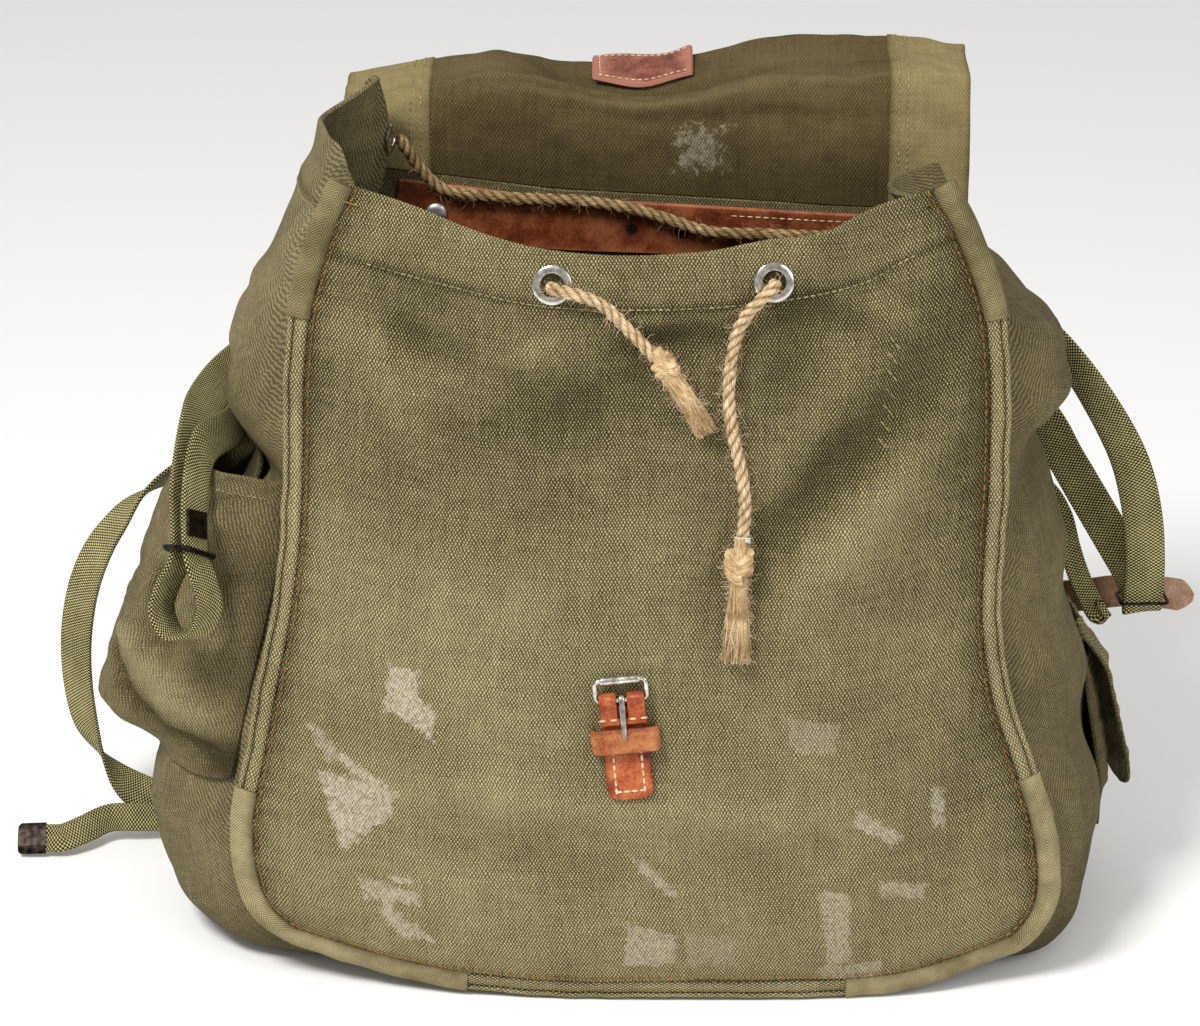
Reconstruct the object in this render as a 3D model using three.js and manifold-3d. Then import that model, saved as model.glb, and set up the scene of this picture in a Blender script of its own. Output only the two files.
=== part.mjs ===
// An old canvas rucksack that stands open on its base, with its lid thrown back.
// Millimetres, +Z up. The origin is on the floor under the middle of the base,
// +X is to the right as the bag is seen from the front, and the front panel faces -Y.

import * as THREE from "three";
import { mergeVertices } from "three/addons/utils/BufferGeometryUtils.js";
import Module from "manifold-3d";

const wasm = await Module();
wasm.setup();

const { lerp, clamp, smoothstep, degToRad } = THREE.MathUtils;

// Driving dimensions

const CANVAS = 1.6; // wall of heavy canvas
const GAP = 0.4; // room between pieces that are sewn or laid together
const LEATHER = 2.4;
const WEBBING = { width: 20, thick: 2.2 };
const TAIL = { width: 15, thick: 2 };
const SIDE_LOOP = { width: 12, thick: 2 };
const CORD_RADIUS = 3.5;

// The thick seam round the front panel stands out from it, and tape covers its corners.
const EDGE_ROLL = { width: 10, front: 1.2, back: -3.2 };
const EDGE_TAPE = { width: 11.6, front: 2.0, back: -3.4 };
const RIM_GAP = 0.7;
const GUSSET_SET_BACK = 4;

// The front seam leans back as it rises, and the back wall leans forward a little.
const SEAM_FOOT_Y = -98;
const SEAM_LEAN = 0.1075;
const BACK_FOOT_Y = 92;
const BACK_LEAN = -0.033;
const BACK_BULGE = 7;
const CROWN_POWER = 2.4;
const GUSSET_POWER = 2.6;
const LIP = 0.16; // share of the depth over which the base turns up to its seams

// Sides, from under the base up to the mouth: the seam on the front panel,
// the widest point of the gusset, and the seam on the back panel.
const LEFT_SIDE = [
  { seamX: 150, seamZ: 21, outX: 172, outZ: 0, backX: 148, backZ: 16 },
  { seamX: 174, seamZ: 30, outX: 226, outZ: 9, backX: 170, backZ: 26 },
  { seamX: 190, seamZ: 49, outX: 247, outZ: 36, backX: 184, backZ: 46 },
  { seamX: 194, seamZ: 84, outX: 252, outZ: 72, backX: 188, backZ: 84 },
  { seamX: 187, seamZ: 120, outX: 243, outZ: 112, backX: 186, backZ: 120 },
  { seamX: 180, seamZ: 155, outX: 231, outZ: 152, backX: 183, backZ: 155 },
  { seamX: 173, seamZ: 190, outX: 216, outZ: 191, backX: 180, backZ: 188 },
  { seamX: 168, seamZ: 225, outX: 200, outZ: 227, backX: 177, backZ: 221 },
  { seamX: 166, seamZ: 252, outX: 191, outZ: 250, backX: 174, backZ: 243 },
  { seamX: 165, seamZ: 278, outX: 209, outZ: 279, backX: 171, backZ: 266 },
  { seamX: 164, seamZ: 308, outX: 205, outZ: 309, backX: 166, backZ: 290 },
  { seamX: 160, seamZ: 342, outX: 189, outZ: 344, backX: 160, backZ: 320 },
  { seamX: 151, seamZ: 372, outX: 172, outZ: 380, backX: 155, backZ: 347 },
  { seamX: 140, seamZ: 398, outX: 161, outZ: 413, backX: 150, backZ: 371 },
];
const RIGHT_SIDE = [
  { seamX: 155, seamZ: 19, outX: 172, outZ: 0, backX: 150, backZ: 16 },
  { seamX: 179, seamZ: 29, outX: 213, outZ: 8, backX: 171, backZ: 26 },
  { seamX: 191, seamZ: 50, outX: 226, outZ: 36, backX: 185, backZ: 46 },
  { seamX: 188, seamZ: 84, outX: 228, outZ: 70, backX: 188, backZ: 84 },
  { seamX: 177, seamZ: 118, outX: 222, outZ: 112, backX: 186, backZ: 120 },
  { seamX: 166, seamZ: 151, outX: 215, outZ: 155, backX: 183, backZ: 155 },
  { seamX: 160, seamZ: 188, outX: 209, outZ: 191, backX: 180, backZ: 188 },
  { seamX: 160, seamZ: 225, outX: 201, outZ: 226, backX: 176, backZ: 220 },
  { seamX: 161, seamZ: 255, outX: 190, outZ: 262, backX: 172, backZ: 244 },
  { seamX: 161, seamZ: 284, outX: 206, outZ: 286, backX: 168, backZ: 264 },
  { seamX: 160, seamZ: 312, outX: 203, outZ: 306, backX: 164, backZ: 286 },
  { seamX: 156, seamZ: 342, outX: 184, outZ: 334, backX: 157, backZ: 308 },
  { seamX: 144, seamZ: 374, outX: 164, outZ: 357, backX: 149, backZ: 330 },
  { seamX: 131, seamZ: 398, outX: 150, outZ: 378, backX: 143, backZ: 349 },
];
const CORNER_ROW = 1;
const TOP_ROW = LEFT_SIDE.length - 1;

// The gussets fold inwards behind the corners of the mouth: how far, where, and how high the fold stands.
const LEFT_PLEAT = [
  { place: 0, inward: 0, middle: 0.84, peak: 0 },
  { place: 9, inward: 0, middle: 0.84, peak: 0 },
  { place: 9.6, inward: 0, middle: 0.84, peak: 0 },
  { place: 10.6, inward: 14, middle: 0.84, peak: 0 },
  { place: 11.6, inward: 34, middle: 0.82, peak: 0 },
  { place: 12.4, inward: 32, middle: 0.8, peak: 4 },
  { place: 13, inward: 23, middle: 0.77, peak: 10 },
];
const RIGHT_PLEAT = [
  { place: 0, inward: 0, middle: 0.58, peak: 0 },
  { place: 9, inward: 0, middle: 0.58, peak: 0 },
  { place: 10, inward: 0, middle: 0.58, peak: 0 },
  { place: 11, inward: 9, middle: 0.58, peak: 0 },
  { place: 12, inward: 25, middle: 0.58, peak: 0 },
  { place: 13, inward: 34, middle: 0.58, peak: 0 },
];
const PLEAT_FRONT = 0.32; // share of the depth from a pleat's start to its fold

// Bottom and top edges of the front and back panels, from left to right.
const FRONT_BOTTOM = [
  { x: -174, z: 30 },
  { x: -113, z: 17 },
  { x: -54, z: 12 },
  { x: 0, z: 12 },
  { x: 60, z: 12 },
  { x: 123, z: 14 },
  { x: 179, z: 29 },
];
const FRONT_TOP = [
  { x: -140, z: 398 },
  { x: -112, z: 391 },
  { x: -84, z: 381 },
  { x: -56, z: 374 },
  { x: -28, z: 371 },
  { x: 0, z: 371 },
  { x: 28, z: 373 },
  { x: 56, z: 378 },
  { x: 80, z: 380 },
  { x: 104, z: 391 },
  { x: 131, z: 398 },
];
const BACK_BOTTOM = [
  { x: -170, z: 26 },
  { x: -112, z: 13 },
  { x: -56, z: 9 },
  { x: 0, z: 8 },
  { x: 56, z: 9 },
  { x: 112, z: 13 },
  { x: 171, z: 26 },
];
const BACK_TOP = [
  { x: -150, z: 371 },
  { x: -100, z: 365 },
  { x: -50, z: 359 },
  { x: 0, z: 356 },
  { x: 50, z: 353 },
  { x: 100, z: 350 },
  { x: 143, z: 349 },
];

// How far the middle of the front panel stands out before its seams, from bottom to top.
const FRONT_CROWN = [
  { out: 16 },
  { out: 26 },
  { out: 30 },
  { out: 27 },
  { out: 22 },
  { out: 18 },
  { out: 15 },
];

// Soft dents and folds of the front panel: middle, half sizes and turn across the panel.
const FRONT_FOLDS = [
  { x: 138, z: 205, wide: 26, high: 70, turn: -8, out: -5 },
  { x: 118, z: 318, wide: 16, high: 62, turn: -38, out: 4 },
  { x: 88, z: 330, wide: 16, high: 50, turn: -34, out: -4 },
  { x: -128, z: 330, wide: 18, high: 60, turn: 24, out: -4 },
  { x: 0, z: 352, wide: 60, high: 22, turn: 0, out: 3 },
  { x: -150, z: 130, wide: 22, high: 80, turn: 10, out: -4 },
];

// Eyelets for the cord on the front panel, as places on it.
const FRONT_EYELETS = { left_front_eyelet: { x: -46, z: 358 }, right_front_eyelet: { x: 57, z: 359.5 } };
const EYELET = { bore: 5.4, barrel: 6, rim: 9.5, backRim: 8.9, proud: 1.5, lift: 0.6, back: 0.7, bevel: 2.4 };

// The lid goes up from the back wall, over a ridge, lies back and falls behind the bag.
const LID_WAVES = [
  { x: -156, ridge: 402, top: 404 },
  { x: -114, ridge: 409, top: 412 },
  { x: -76, ridge: 414, top: 416 },
  { x: -40, ridge: 409, top: 411 },
  { x: -10, ridge: 402, top: 412 },
  { x: 20, ridge: 405, top: 415 },
  { x: 56, ridge: 413, top: 423 },
  { x: 102, ridge: 416, top: 424 },
  { x: 124, ridge: 418, top: 423 },
  { x: 160, ridge: 416, top: 419 },
];
const LID_FALL = [
  { y: 78.5, hinge: 1, ridge: 0, top: 0, drop: -1 },
  { y: 81, hinge: 0.5, ridge: 0.5, top: 0, drop: 0 },
  { y: 88, hinge: 0.1, ridge: 0.9, top: 0, drop: 0 },
  { y: 101, hinge: 0, ridge: 1, top: 0, drop: 0 },
  { y: 117, hinge: 0, ridge: 0.4, top: 0.6, drop: 0 },
  { y: 133, hinge: 0, ridge: 0, top: 1, drop: 0 },
  { y: 146, hinge: 0, ridge: 0, top: 1, drop: 12 },
  { y: 153, hinge: 0, ridge: 0, top: 1, drop: 42 },
  { y: 154, hinge: 0, ridge: 0, top: 1, drop: 82 },
  { y: 151, hinge: 0, ridge: 0, top: 1, drop: 122 },
];
const LID_EDGES = { left: -155, leftSeam: -114, rightSeam: 122, right: 159 };
const LID_TAB = { left: -30, right: 20, from: 0.36, to: 0.54 }; // X, and shares of the lid's run

// Pockets, as places on the gusset: row down to row up, depth share from front to back,
// and how far the cloth stands out from the gusset.
const POCKET_EDGE = 2.6;
const LEFT_POCKET = { low: 3.65, high: 8.05, front: 0.05, back: 0.92, out: 37, floor: 0.16, mouth: 1 };
const RIGHT_POCKET = { low: 2.4, high: 4.5, front: 0.44, back: 0.93, out: 8, floor: 0.3, mouth: 0.4 };
const LEFT_FLAP = { low: 5.2, high: 8.3, front: 0.34, back: 0.74, out: 3.6 };
const RIGHT_FLAP = { low: 2.55, high: 4.9, front: 0.48, back: 0.86, over: 10, turn: 0.25, lift: 9 };
const FAN = degToRad(38); // pockets stand out along a fan of directions, front to back

// Where the straps are sewn to the back panel: heights, and the X of each end and bend.
const STRAP_ROOTS = { upper: 300, middle: 262, lower: 226, x: 70, bend: 124 };

// Buckle on the front panel: pivot place, and the turn of the leather in the panel.
const BUCKLE = { x: -13, z: 163, turn: 5.8, leather: 2, length: 50, width: 21.4, pivot: 4.1 };
const FRAME = { width: 24.4, height: 10, bar: 1.25, leg: 1.1, rise: 4 };
const ROLLER = { bore: 1.65, radius: 2.2, length: 19 };
const PRONG = { ring: 2.7, bore: 1.6, width: 3, length: 18.5, rise: 10 };
const KEEPER = { top: -13.8, bottom: -26, half: 16.4, height: 7.4, wall: 1.9 };

// Small pieces: holes in the leather band, tassels, lid strap and the straps' metal.
const BAND_HOLES = { places: [[-10, 338], [15, 336]], radius: 3.2 };
const BAND_REACH = { left: 0.92, right: 0.1, low: 0.89, high: 0.985 }; // shares of the back panel
const BAND_RIVET = { x: -109, z: 347, hole: 2.4, rim: 5.5, thick: 1.2 };
const LEFT_TASSEL = { knot: 6.4, tall: 1, locks: 4, lock: 3, spread: 3.4 };
const RIGHT_TASSEL = { knot: 7, tall: 1.5, locks: 5, lock: 3, spread: 4.6 };
const LID_STRAP = { x: -5, width: 20, thick: 2.2 };
const SLIDER = { half: 13.8, depth: 8, thick: 2.4, slot: 4.2, room: 1.3 };
const STRAP_PLATE = { station: 62, width: 16, length: 13, thick: 1.2 };
const TIP = { width: 17, length: 15, thick: 3 };
const WIRE = { halfX: 11.2, halfY: 6.8, bar: 1.8 };

const FINISH = {
  canvas: { color: "#857a55", roughness: 0.95, metalness: 0 },
  darkCanvas: { color: "#695e42", roughness: 0.95, metalness: 0 },
  lidCanvas: { color: "#5d5237", roughness: 0.95, metalness: 0 },
  tape: { color: "#8e8461", roughness: 0.9, metalness: 0 },
  webbing: { color: "#8c8357", roughness: 0.85, metalness: 0 },
  jute: { color: "#c9ab80", roughness: 0.95, metalness: 0 },
  bandLeather: { color: "#6a3822", roughness: 0.6, metalness: 0 },
  tabLeather: { color: "#8d5a46", roughness: 0.6, metalness: 0 },
  buckleLeather: { color: "#c4683c", roughness: 0.55, metalness: 0 },
  brownLeather: { color: "#755540", roughness: 0.65, metalness: 0 },
  nickel: { color: "#b9b4aa", roughness: 0.3, metalness: 1 },
  blackMetal: { color: "#1b1815", roughness: 0.5, metalness: 0.6 },
};

// Reading tables

// A column read smoothly between rows, by row number or by a key column that rises.
function read(rows, column, place, key) {
  const last = rows.length - 1;
  const at = (k) => (key ? rows[k][key] : k);
  let i = 0;
  while (i < last - 1 && place > at(i + 1)) i += 1;
  const slope = (k) => {
    const before = Math.max(k - 1, 0);
    const after = Math.min(k + 1, last);
    return (rows[after][column] - rows[before][column]) / (at(after) - at(before));
  };
  const step = at(i + 1) - at(i);
  const t = clamp((place - at(i)) / step, 0, 1);
  const rise = rows[i + 1][column] - rows[i][column];
  const startBend = slope(i) * step - rise;
  const endBend = rise - slope(i + 1) * step;
  return rows[i][column] + rise * t + t * (1 - t) * (startBend * (1 - t) + endBend * t);
}

const vec = (x, y, z) => new THREE.Vector3(x, y, z);

// The level direction that runs to the right across a face.
const sideways = (out) => vec(0, 0, 0).crossVectors(vec(0, 0, 1), out).normalize();

// Solids from grids and sweeps

function solid(points, triangles) {
  const volume = triangles.reduce((sum, [a, b, c]) => {
    return sum + points[a].dot(vec(0, 0, 0).crossVectors(points[b], points[c]));
  }, 0);
  const index = triangles.flatMap(([a, b, c]) => (volume > 0 ? [a, b, c] : [a, c, b]));
  const geometry = new THREE.BufferGeometry().setFromPoints(points);
  geometry.setIndex(index);
  return geometry;
}

function surfaceNormal(point, u, v) {
  const step = 0.004;
  const along = (a, b) => vec(0, 0, 0).subVectors(b, a);
  const du = along(point(Math.max(u - step, 0), v), point(Math.min(u + step, 1), v));
  const dv = along(point(u, Math.max(v - step, 0)), point(u, Math.min(v + step, 1)));
  return du.cross(dv).normalize();
}

// A place lifted off a surface along its normal.
const lifted = (point, lift) => (u, v) => point(u, v).addScaledVector(surfaceNormal(point, u, v), lift);

// A cloth or leather wall: point(u, v) is its outer face, the inner face lies behind it.
function wall(point, across, along, thick) {
  const points = [];
  const inner = lifted(point, -thick);
  for (const face of [point, inner]) {
    for (let j = 0; j <= along; j += 1) {
      for (let i = 0; i <= across; i += 1) points.push(face(i / across, j / along));
    }
  }
  const row = across + 1;
  const behind = row * (along + 1);
  const triangles = [];
  const quad = (a, b, c, d) => triangles.push([a, b, c], [a, c, d]);
  for (let j = 0; j < along; j += 1) {
    for (let i = 0; i < across; i += 1) {
      const a = j * row + i;
      quad(a, a + 1, a + row + 1, a + row);
      quad(behind + a, behind + a + row, behind + a + row + 1, behind + a + 1);
    }
  }
  for (let i = 0; i < across; i += 1) {
    const top = along * row + i;
    quad(i, behind + i, behind + i + 1, i + 1);
    quad(top, top + 1, behind + top + 1, behind + top);
  }
  for (let j = 0; j < along; j += 1) {
    const left = j * row;
    const right = left + across;
    quad(left, left + row, behind + left + row, behind + left);
    quad(right, behind + right, behind + right + row, right + row);
  }
  return solid(points, triangles);
}

// A section of [across, out] corners carried along frames of place, width and out directions.
function sweep(frames, section) {
  const points = frames.flatMap(({ place, width, out }) =>
    section.map(([a, b]) => place.clone().addScaledVector(width, a).addScaledVector(out, b)),
  );
  const sides = section.length;
  const last = (frames.length - 1) * sides;
  const triangles = [];
  for (let k = 0; k < frames.length - 1; k += 1) {
    for (let i = 0; i < sides; i += 1) {
      const a = k * sides + i;
      const b = k * sides + ((i + 1) % sides);
      triangles.push([a, b, b + sides], [a, b + sides, a + sides]);
    }
  }
  for (let i = 1; i < sides - 1; i += 1) {
    triangles.push([0, i + 1, i], [last, last + i, last + i + 1]);
  }
  return solid(points, triangles);
}

// Frames along a flat strip: rows of x, y, z and the direction w of its width.
function stripFrames(rows, stepsPerRow) {
  const place = (t) => vec(read(rows, "x", t), read(rows, "y", t), read(rows, "z", t));
  const count = (rows.length - 1) * stepsPerRow;
  return Array.from({ length: count + 1 }, (_, k) => {
    const t = k / stepsPerRow;
    const run = place(Math.min(t + 0.05, rows.length - 1)).sub(place(Math.max(t - 0.05, 0))).normalize();
    const width = vec(read(rows, "wx", t), read(rows, "wy", t), read(rows, "wz", t));
    width.addScaledVector(run, -width.dot(run)).normalize();
    return { place: place(t), run, width, out: vec(0, 0, 0).crossVectors(run, width) };
  });
}

const flat = (width, thick) => [
  [-width / 2, -thick / 2],
  [width / 2, -thick / 2],
  [width / 2, thick / 2],
  [-width / 2, thick / 2],
];

const strip = (rows, { width, thick }, stepsPerRow = 2) => {
  return sweep(stripFrames(rows, stepsPerRow), flat(width, thick));
};

const row = ([x, y, z], [wx, wy, wz]) => ({ x, y, z, wx, wy, wz });

// A round section carried along a smooth curve through places.
function tube(places, radius, steps, sides = 8) {
  const circle = new THREE.Shape();
  for (let i = 0; i < sides; i += 1) {
    const angle = (2 * Math.PI * i) / sides;
    const [x, y] = [radius * Math.cos(angle), radius * Math.sin(angle)];
    if (i === 0) circle.moveTo(x, y);
    else circle.lineTo(x, y);
  }
  circle.closePath();
  const route = places.map(([x, y, z]) => vec(x, y, z));
  const extrudePath = new THREE.CatmullRomCurve3(route, false, "centripetal");
  return new THREE.ExtrudeGeometry(circle, { steps, extrudePath, bevelEnabled: false });
}

function extruded(outline, depth, holes = []) {
  const shape = new THREE.Shape(outline.map(([x, y]) => new THREE.Vector2(x, y)));
  shape.holes = holes.map((hole) => new THREE.Path(hole.map(([x, y]) => new THREE.Vector2(x, y))));
  const plate = new THREE.ExtrudeGeometry(shape, { depth, bevelEnabled: false, steps: 1 });
  return plate.translate(0, 0, -depth / 2);
}

const rectangle = (halfX, halfY, x = 0, y = 0) => [
  [x - halfX, y - halfY],
  [x + halfX, y - halfY],
  [x + halfX, y + halfY],
  [x - halfX, y + halfY],
];

// Joining and cutting

function toManifold(geometry) {
  const bare = new THREE.BufferGeometry();
  bare.setAttribute("position", geometry.getAttribute("position").clone());
  if (geometry.index) bare.setIndex(geometry.index.clone());
  const merged = mergeVertices(bare, 1e-4);
  const mesh = new wasm.Mesh({
    numProp: 3,
    vertProperties: new Float32Array(merged.getAttribute("position").array),
    triVerts: new Uint32Array(merged.index.array),
  });
  mesh.merge();
  return new wasm.Manifold(mesh);
}

function fromManifold(body) {
  const mesh = body.getMesh();
  const geometry = new THREE.BufferGeometry();
  geometry.setAttribute("position", new THREE.BufferAttribute(mesh.vertProperties, 3));
  geometry.setIndex(new THREE.BufferAttribute(mesh.triVerts, 1));
  return geometry;
}

const joined = (...pieces) => fromManifold(pieces.map(toManifold).reduce((sum, next) => sum.add(next)));
const cut = (piece, ...tools) =>
  fromManifold(tools.map(toManifold).reduce((left, tool) => left.subtract(tool), toManifold(piece)));

// The scene graph

const rucksack = new THREE.Group();

function add(name, geometry, finish, parent = rucksack) {
  const mesh = new THREE.Mesh(geometry, new THREE.MeshStandardMaterial(FINISH[finish]));
  mesh.name = name;
  parent.add(mesh);
  return mesh;
}

// A group set at a place, with its own X and Z turned to two given directions.
function placedGroup(place, xAxis, zAxis) {
  const group = new THREE.Group();
  const yAxis = vec(0, 0, 0).crossVectors(zAxis, xAxis);
  group.quaternion.setFromRotationMatrix(new THREE.Matrix4().makeBasis(xAxis, yAxis, zAxis));
  group.position.copy(place);
  rucksack.add(group);
  return group;
}

// Bag body

const seamY = (z) => SEAM_FOOT_Y + SEAM_LEAN * z;
const backY = (z) => BACK_FOOT_Y + BACK_LEAN * z;

// A panel stretched between four edges, in X and Z: a blend of its side, bottom and top edges.
function panelPlace(u, v, left, right, bottom, top) {
  const [l, r, b, t] = [left(v), right(v), bottom(u), top(u)];
  const [l0, l1, r0, r1] = [left(0), left(1), right(0), right(1)];
  return ["x", "z"].map((axis) => {
    const sides = lerp(l[axis], r[axis], u);
    const ends = lerp(b[axis], t[axis], v);
    const corners = lerp(lerp(l0[axis], r0[axis], u), lerp(l1[axis], r1[axis], u), v);
    return sides + ends - corners;
  });
}

const sideEdge = (rows, sign, x, z) => (v) => {
  const place = lerp(CORNER_ROW, TOP_ROW, v);
  return { x: sign * read(rows, x, place), z: read(rows, z, place) };
};
const crossEdge = (rows) => (u) => {
  const place = u * (rows.length - 1);
  return { x: read(rows, "x", place), z: read(rows, "z", place) };
};

function frontFold(x, z) {
  return FRONT_FOLDS.reduce((sum, fold) => {
    const turn = degToRad(fold.turn);
    const [dx, dz] = [x - fold.x, z - fold.z];
    const across = (dx * Math.cos(turn) + dz * Math.sin(turn)) / fold.wide;
    const along = (dz * Math.cos(turn) - dx * Math.sin(turn)) / fold.high;
    return sum + fold.out * Math.exp(-across * across - along * along);
  }, 0);
}

function frontPoint(u, v) {
  const [x, z] = panelPlace(
    u,
    v,
    sideEdge(LEFT_SIDE, -1, "seamX", "seamZ"),
    sideEdge(RIGHT_SIDE, 1, "seamX", "seamZ"),
    crossEdge(FRONT_BOTTOM),
    crossEdge(FRONT_TOP),
  );
  const inside = 1 - Math.abs(2 * u - 1) ** CROWN_POWER;
  const crown = read(FRONT_CROWN, "out", v * (FRONT_CROWN.length - 1));
  return vec(x, seamY(z) - (crown + frontFold(x, z)) * inside, z);
}

function backPoint(u, v) {
  const [x, z] = panelPlace(
    1 - u,
    v,
    sideEdge(LEFT_SIDE, -1, "backX", "backZ"),
    sideEdge(RIGHT_SIDE, 1, "backX", "backZ"),
    crossEdge(BACK_BOTTOM),
    crossEdge(BACK_TOP),
  );
  const bulge = BACK_BULGE * (1 - (2 * u - 1) ** 2) * 4 * v * (1 - v);
  return vec(x, backY(z) + bulge, z);
}

// The place on a panel over a given X and Z, found by closing in on it.
function onPanel(point, x, z) {
  const uv = [0.5, 0.5];
  const step = 0.01;
  for (let pass = 0; pass < 12; pass += 1) {
    const at = point(uv[0], uv[1]);
    const du = point(uv[0] + step, uv[1]).sub(at).divideScalar(step);
    const dv = point(uv[0], uv[1] + step).sub(at).divideScalar(step);
    const [ex, ez] = [x - at.x, z - at.z];
    const area = du.x * dv.z - dv.x * du.z;
    uv[0] = clamp(uv[0] + (ex * dv.z - dv.x * ez) / area, 0, 0.98);
    uv[1] = clamp(uv[1] + (du.x * ez - ex * du.z) / area, 0, 0.98);
  }
  return { place: point(uv[0], uv[1]), out: surfaceNormal(point, uv[0], uv[1]) };
}
const onFront = (x, z) => onPanel(frontPoint, x, z);
const offFront = (x, z, lift) => {
  const { place, out } = onFront(x, z);
  return place.addScaledVector(out, lift).toArray();
};

const lip = (share) => Math.max(0, 1 - share / LIP) ** 2;

// A gusset by table row and by share of the depth, front to back.
function gussetPoint(rows, sign, place, depth) {
  const value = (column) => read(rows, column, place);
  const round = 1 - Math.abs(2 * depth - 1) ** GUSSET_POWER;
  const straight = lerp(value("seamX"), value("backX"), depth);
  const bulge = (value("outX") - (value("seamX") + value("backX")) / 2) * round;
  const ends = lip(depth) + lip(1 - depth);
  const z = lerp(value("seamZ"), value("backZ"), depth) * ends + value("outZ") * (1 - ends);
  const pleat = (column) => read(sign < 0 ? LEFT_PLEAT : RIGHT_PLEAT, column, place, "place");
  const behind = depth - pleat("middle");
  const reach = clamp(behind / (behind < 0 ? PLEAT_FRONT : 1 - pleat("middle")), -1, 1);
  const fold = (1 + Math.cos(Math.PI * reach)) / 2;
  const y = lerp(seamY(value("seamZ")) + GUSSET_SET_BACK, backY(value("backZ")) - CANVAS - GAP, depth);
  return vec(sign * (straight + bulge - pleat("inward") * fold), y, z + pleat("peak") * fold);
}
const leftGusset = (u, v) => gussetPoint(LEFT_SIDE, -1, v * TOP_ROW, 1 - u);
const rightGusset = (u, v) => gussetPoint(RIGHT_SIDE, 1, v * TOP_ROW, u);

// The base lies flat on the floor and turns up to the front and back seams.
function basePoint(u, v) {
  const depth = 1 - v;
  const left = gussetPoint(LEFT_SIDE, -1, 0, depth).x + 2 * GAP;
  const right = gussetPoint(RIGHT_SIDE, 1, 0, depth).x - 2 * GAP;
  const x = lerp(left, right, u);
  const frontZ = read(FRONT_BOTTOM, "z", x, "x");
  const backZ = read(BACK_BOTTOM, "z", x, "x");
  const frontY = seamY(frontZ) - FRONT_CROWN[0].out * (1 - Math.abs(2 * u - 1) ** CROWN_POWER);
  const y = lerp(frontY + GUSSET_SET_BACK, backY(backZ) - CANVAS - GAP, depth);
  return vec(x, y, frontZ * lip(depth) + backZ * lip(1 - depth));
}

function eyeletBore(x, z) {
  const { place, out } = onFront(x, z);
  const bore = new THREE.CylinderGeometry(EYELET.barrel + GAP, EYELET.barrel + GAP, 20, 12);
  bore.applyQuaternion(new THREE.Quaternion().setFromUnitVectors(vec(0, 1, 0), out));
  return bore.translate(place.x, place.y, place.z);
}

const eyeletBores = Object.values(FRONT_EYELETS).map(({ x, z }) => eyeletBore(x, z));
add("front_panel", cut(wall(frontPoint, 16, 14, CANVAS), ...eyeletBores), "canvas");
add("left_gusset", wall(leftGusset, 10, 20, CANVAS), "darkCanvas");
add("right_gusset", wall(rightGusset, 10, 20, CANVAS), "darkCanvas");
add("base_panel", wall(basePoint, 8, 8, CANVAS), "darkCanvas");
add("back_panel", wall(backPoint, 10, 12, CANVAS), "darkCanvas");

// Front seam: the roll and its tapes, cut from one run round the front panel's edge

const RIM_STEPS = { side: 44, bottom: 34 };
const RIM_ROUND = 1.4; // how much the roll's outer edge is rounded off

function rimFrames() {
  const places = [];
  const { side, bottom } = RIM_STEPS;
  for (let k = 0; k < side; k += 1) places.push([0, 1 - k / side]);
  for (let k = 0; k < bottom; k += 1) places.push([k / bottom, 0]);
  for (let k = 0; k <= side; k += 1) places.push([1, k / side]);
  const at = places.map(([u, v]) => frontPoint(u, v));
  return at.map((place, k) => {
    const run = at[Math.min(k + 1, at.length - 1)].clone().sub(at[Math.max(k - 1, 0)]).normalize();
    const out = surfaceNormal(frontPoint, ...places[k]);
    return { place, out, width: vec(0, 0, 0).crossVectors(run, out).normalize() };
  });
}

const RIM = rimFrames();

function rimPiece(from, to, size, every) {
  const frames = [];
  for (let k = from; k < to; k += every) frames.push(RIM[k]);
  frames.push(RIM[to]);
  const [inner, outer] = [RIM_GAP, RIM_GAP + size.width];
  return sweep(frames, [
    [inner, size.back],
    [outer - RIM_ROUND, size.back],
    [outer, (size.back + size.front) / 2],
    [outer - RIM_ROUND, size.front],
    [inner, size.front],
  ]);
}

// Pieces along the run, from the top left corner round: the station where each one ends.
const RIM_PIECES = [
  { name: "top_left_tape", to: 8, size: EDGE_TAPE, every: 2 },
  { name: "left_edge_roll", to: 35, size: EDGE_ROLL, every: 2 },
  { name: "bottom_left_tape", to: 52, size: EDGE_TAPE, every: 1 },
  { name: "bottom_edge_roll", to: 70, size: EDGE_ROLL, every: 2 },
  { name: "bottom_right_tape", to: 88, size: EDGE_TAPE, every: 1 },
  { name: "right_edge_roll", to: 114, size: EDGE_ROLL, every: 2 },
  { name: "top_right_tape", to: RIM.length - 1, size: EDGE_TAPE, every: 2 },
];
RIM_PIECES.forEach(({ name, to, size, every }, k) => {
  const from = k === 0 ? 0 : RIM_PIECES[k - 1].to;
  add(name, rimPiece(from, to, size, every), size === EDGE_TAPE ? "tape" : "canvas");
});

// Mouth: leather inside the back wall, eyelets and the drawcord

function leatherBand(u, v) {
  const across = lerp(BAND_REACH.right, BAND_REACH.left, u);
  return lifted(backPoint, -CANVAS - GAP)(across, lerp(BAND_REACH.low, BAND_REACH.high, v));
}
const bandHole = ([x, z]) => {
  const { place } = onPanel(backPoint, x, z);
  const { radius } = BAND_HOLES;
  return new THREE.CylinderGeometry(radius, radius, 16, 10).translate(place.x, place.y - 4, place.z);
};
const bandHoles = BAND_HOLES.places.map(bandHole);
add("leather_band", cut(wall(leatherBand, 10, 2, LEATHER), ...bandHoles), "bandLeather");

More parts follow.
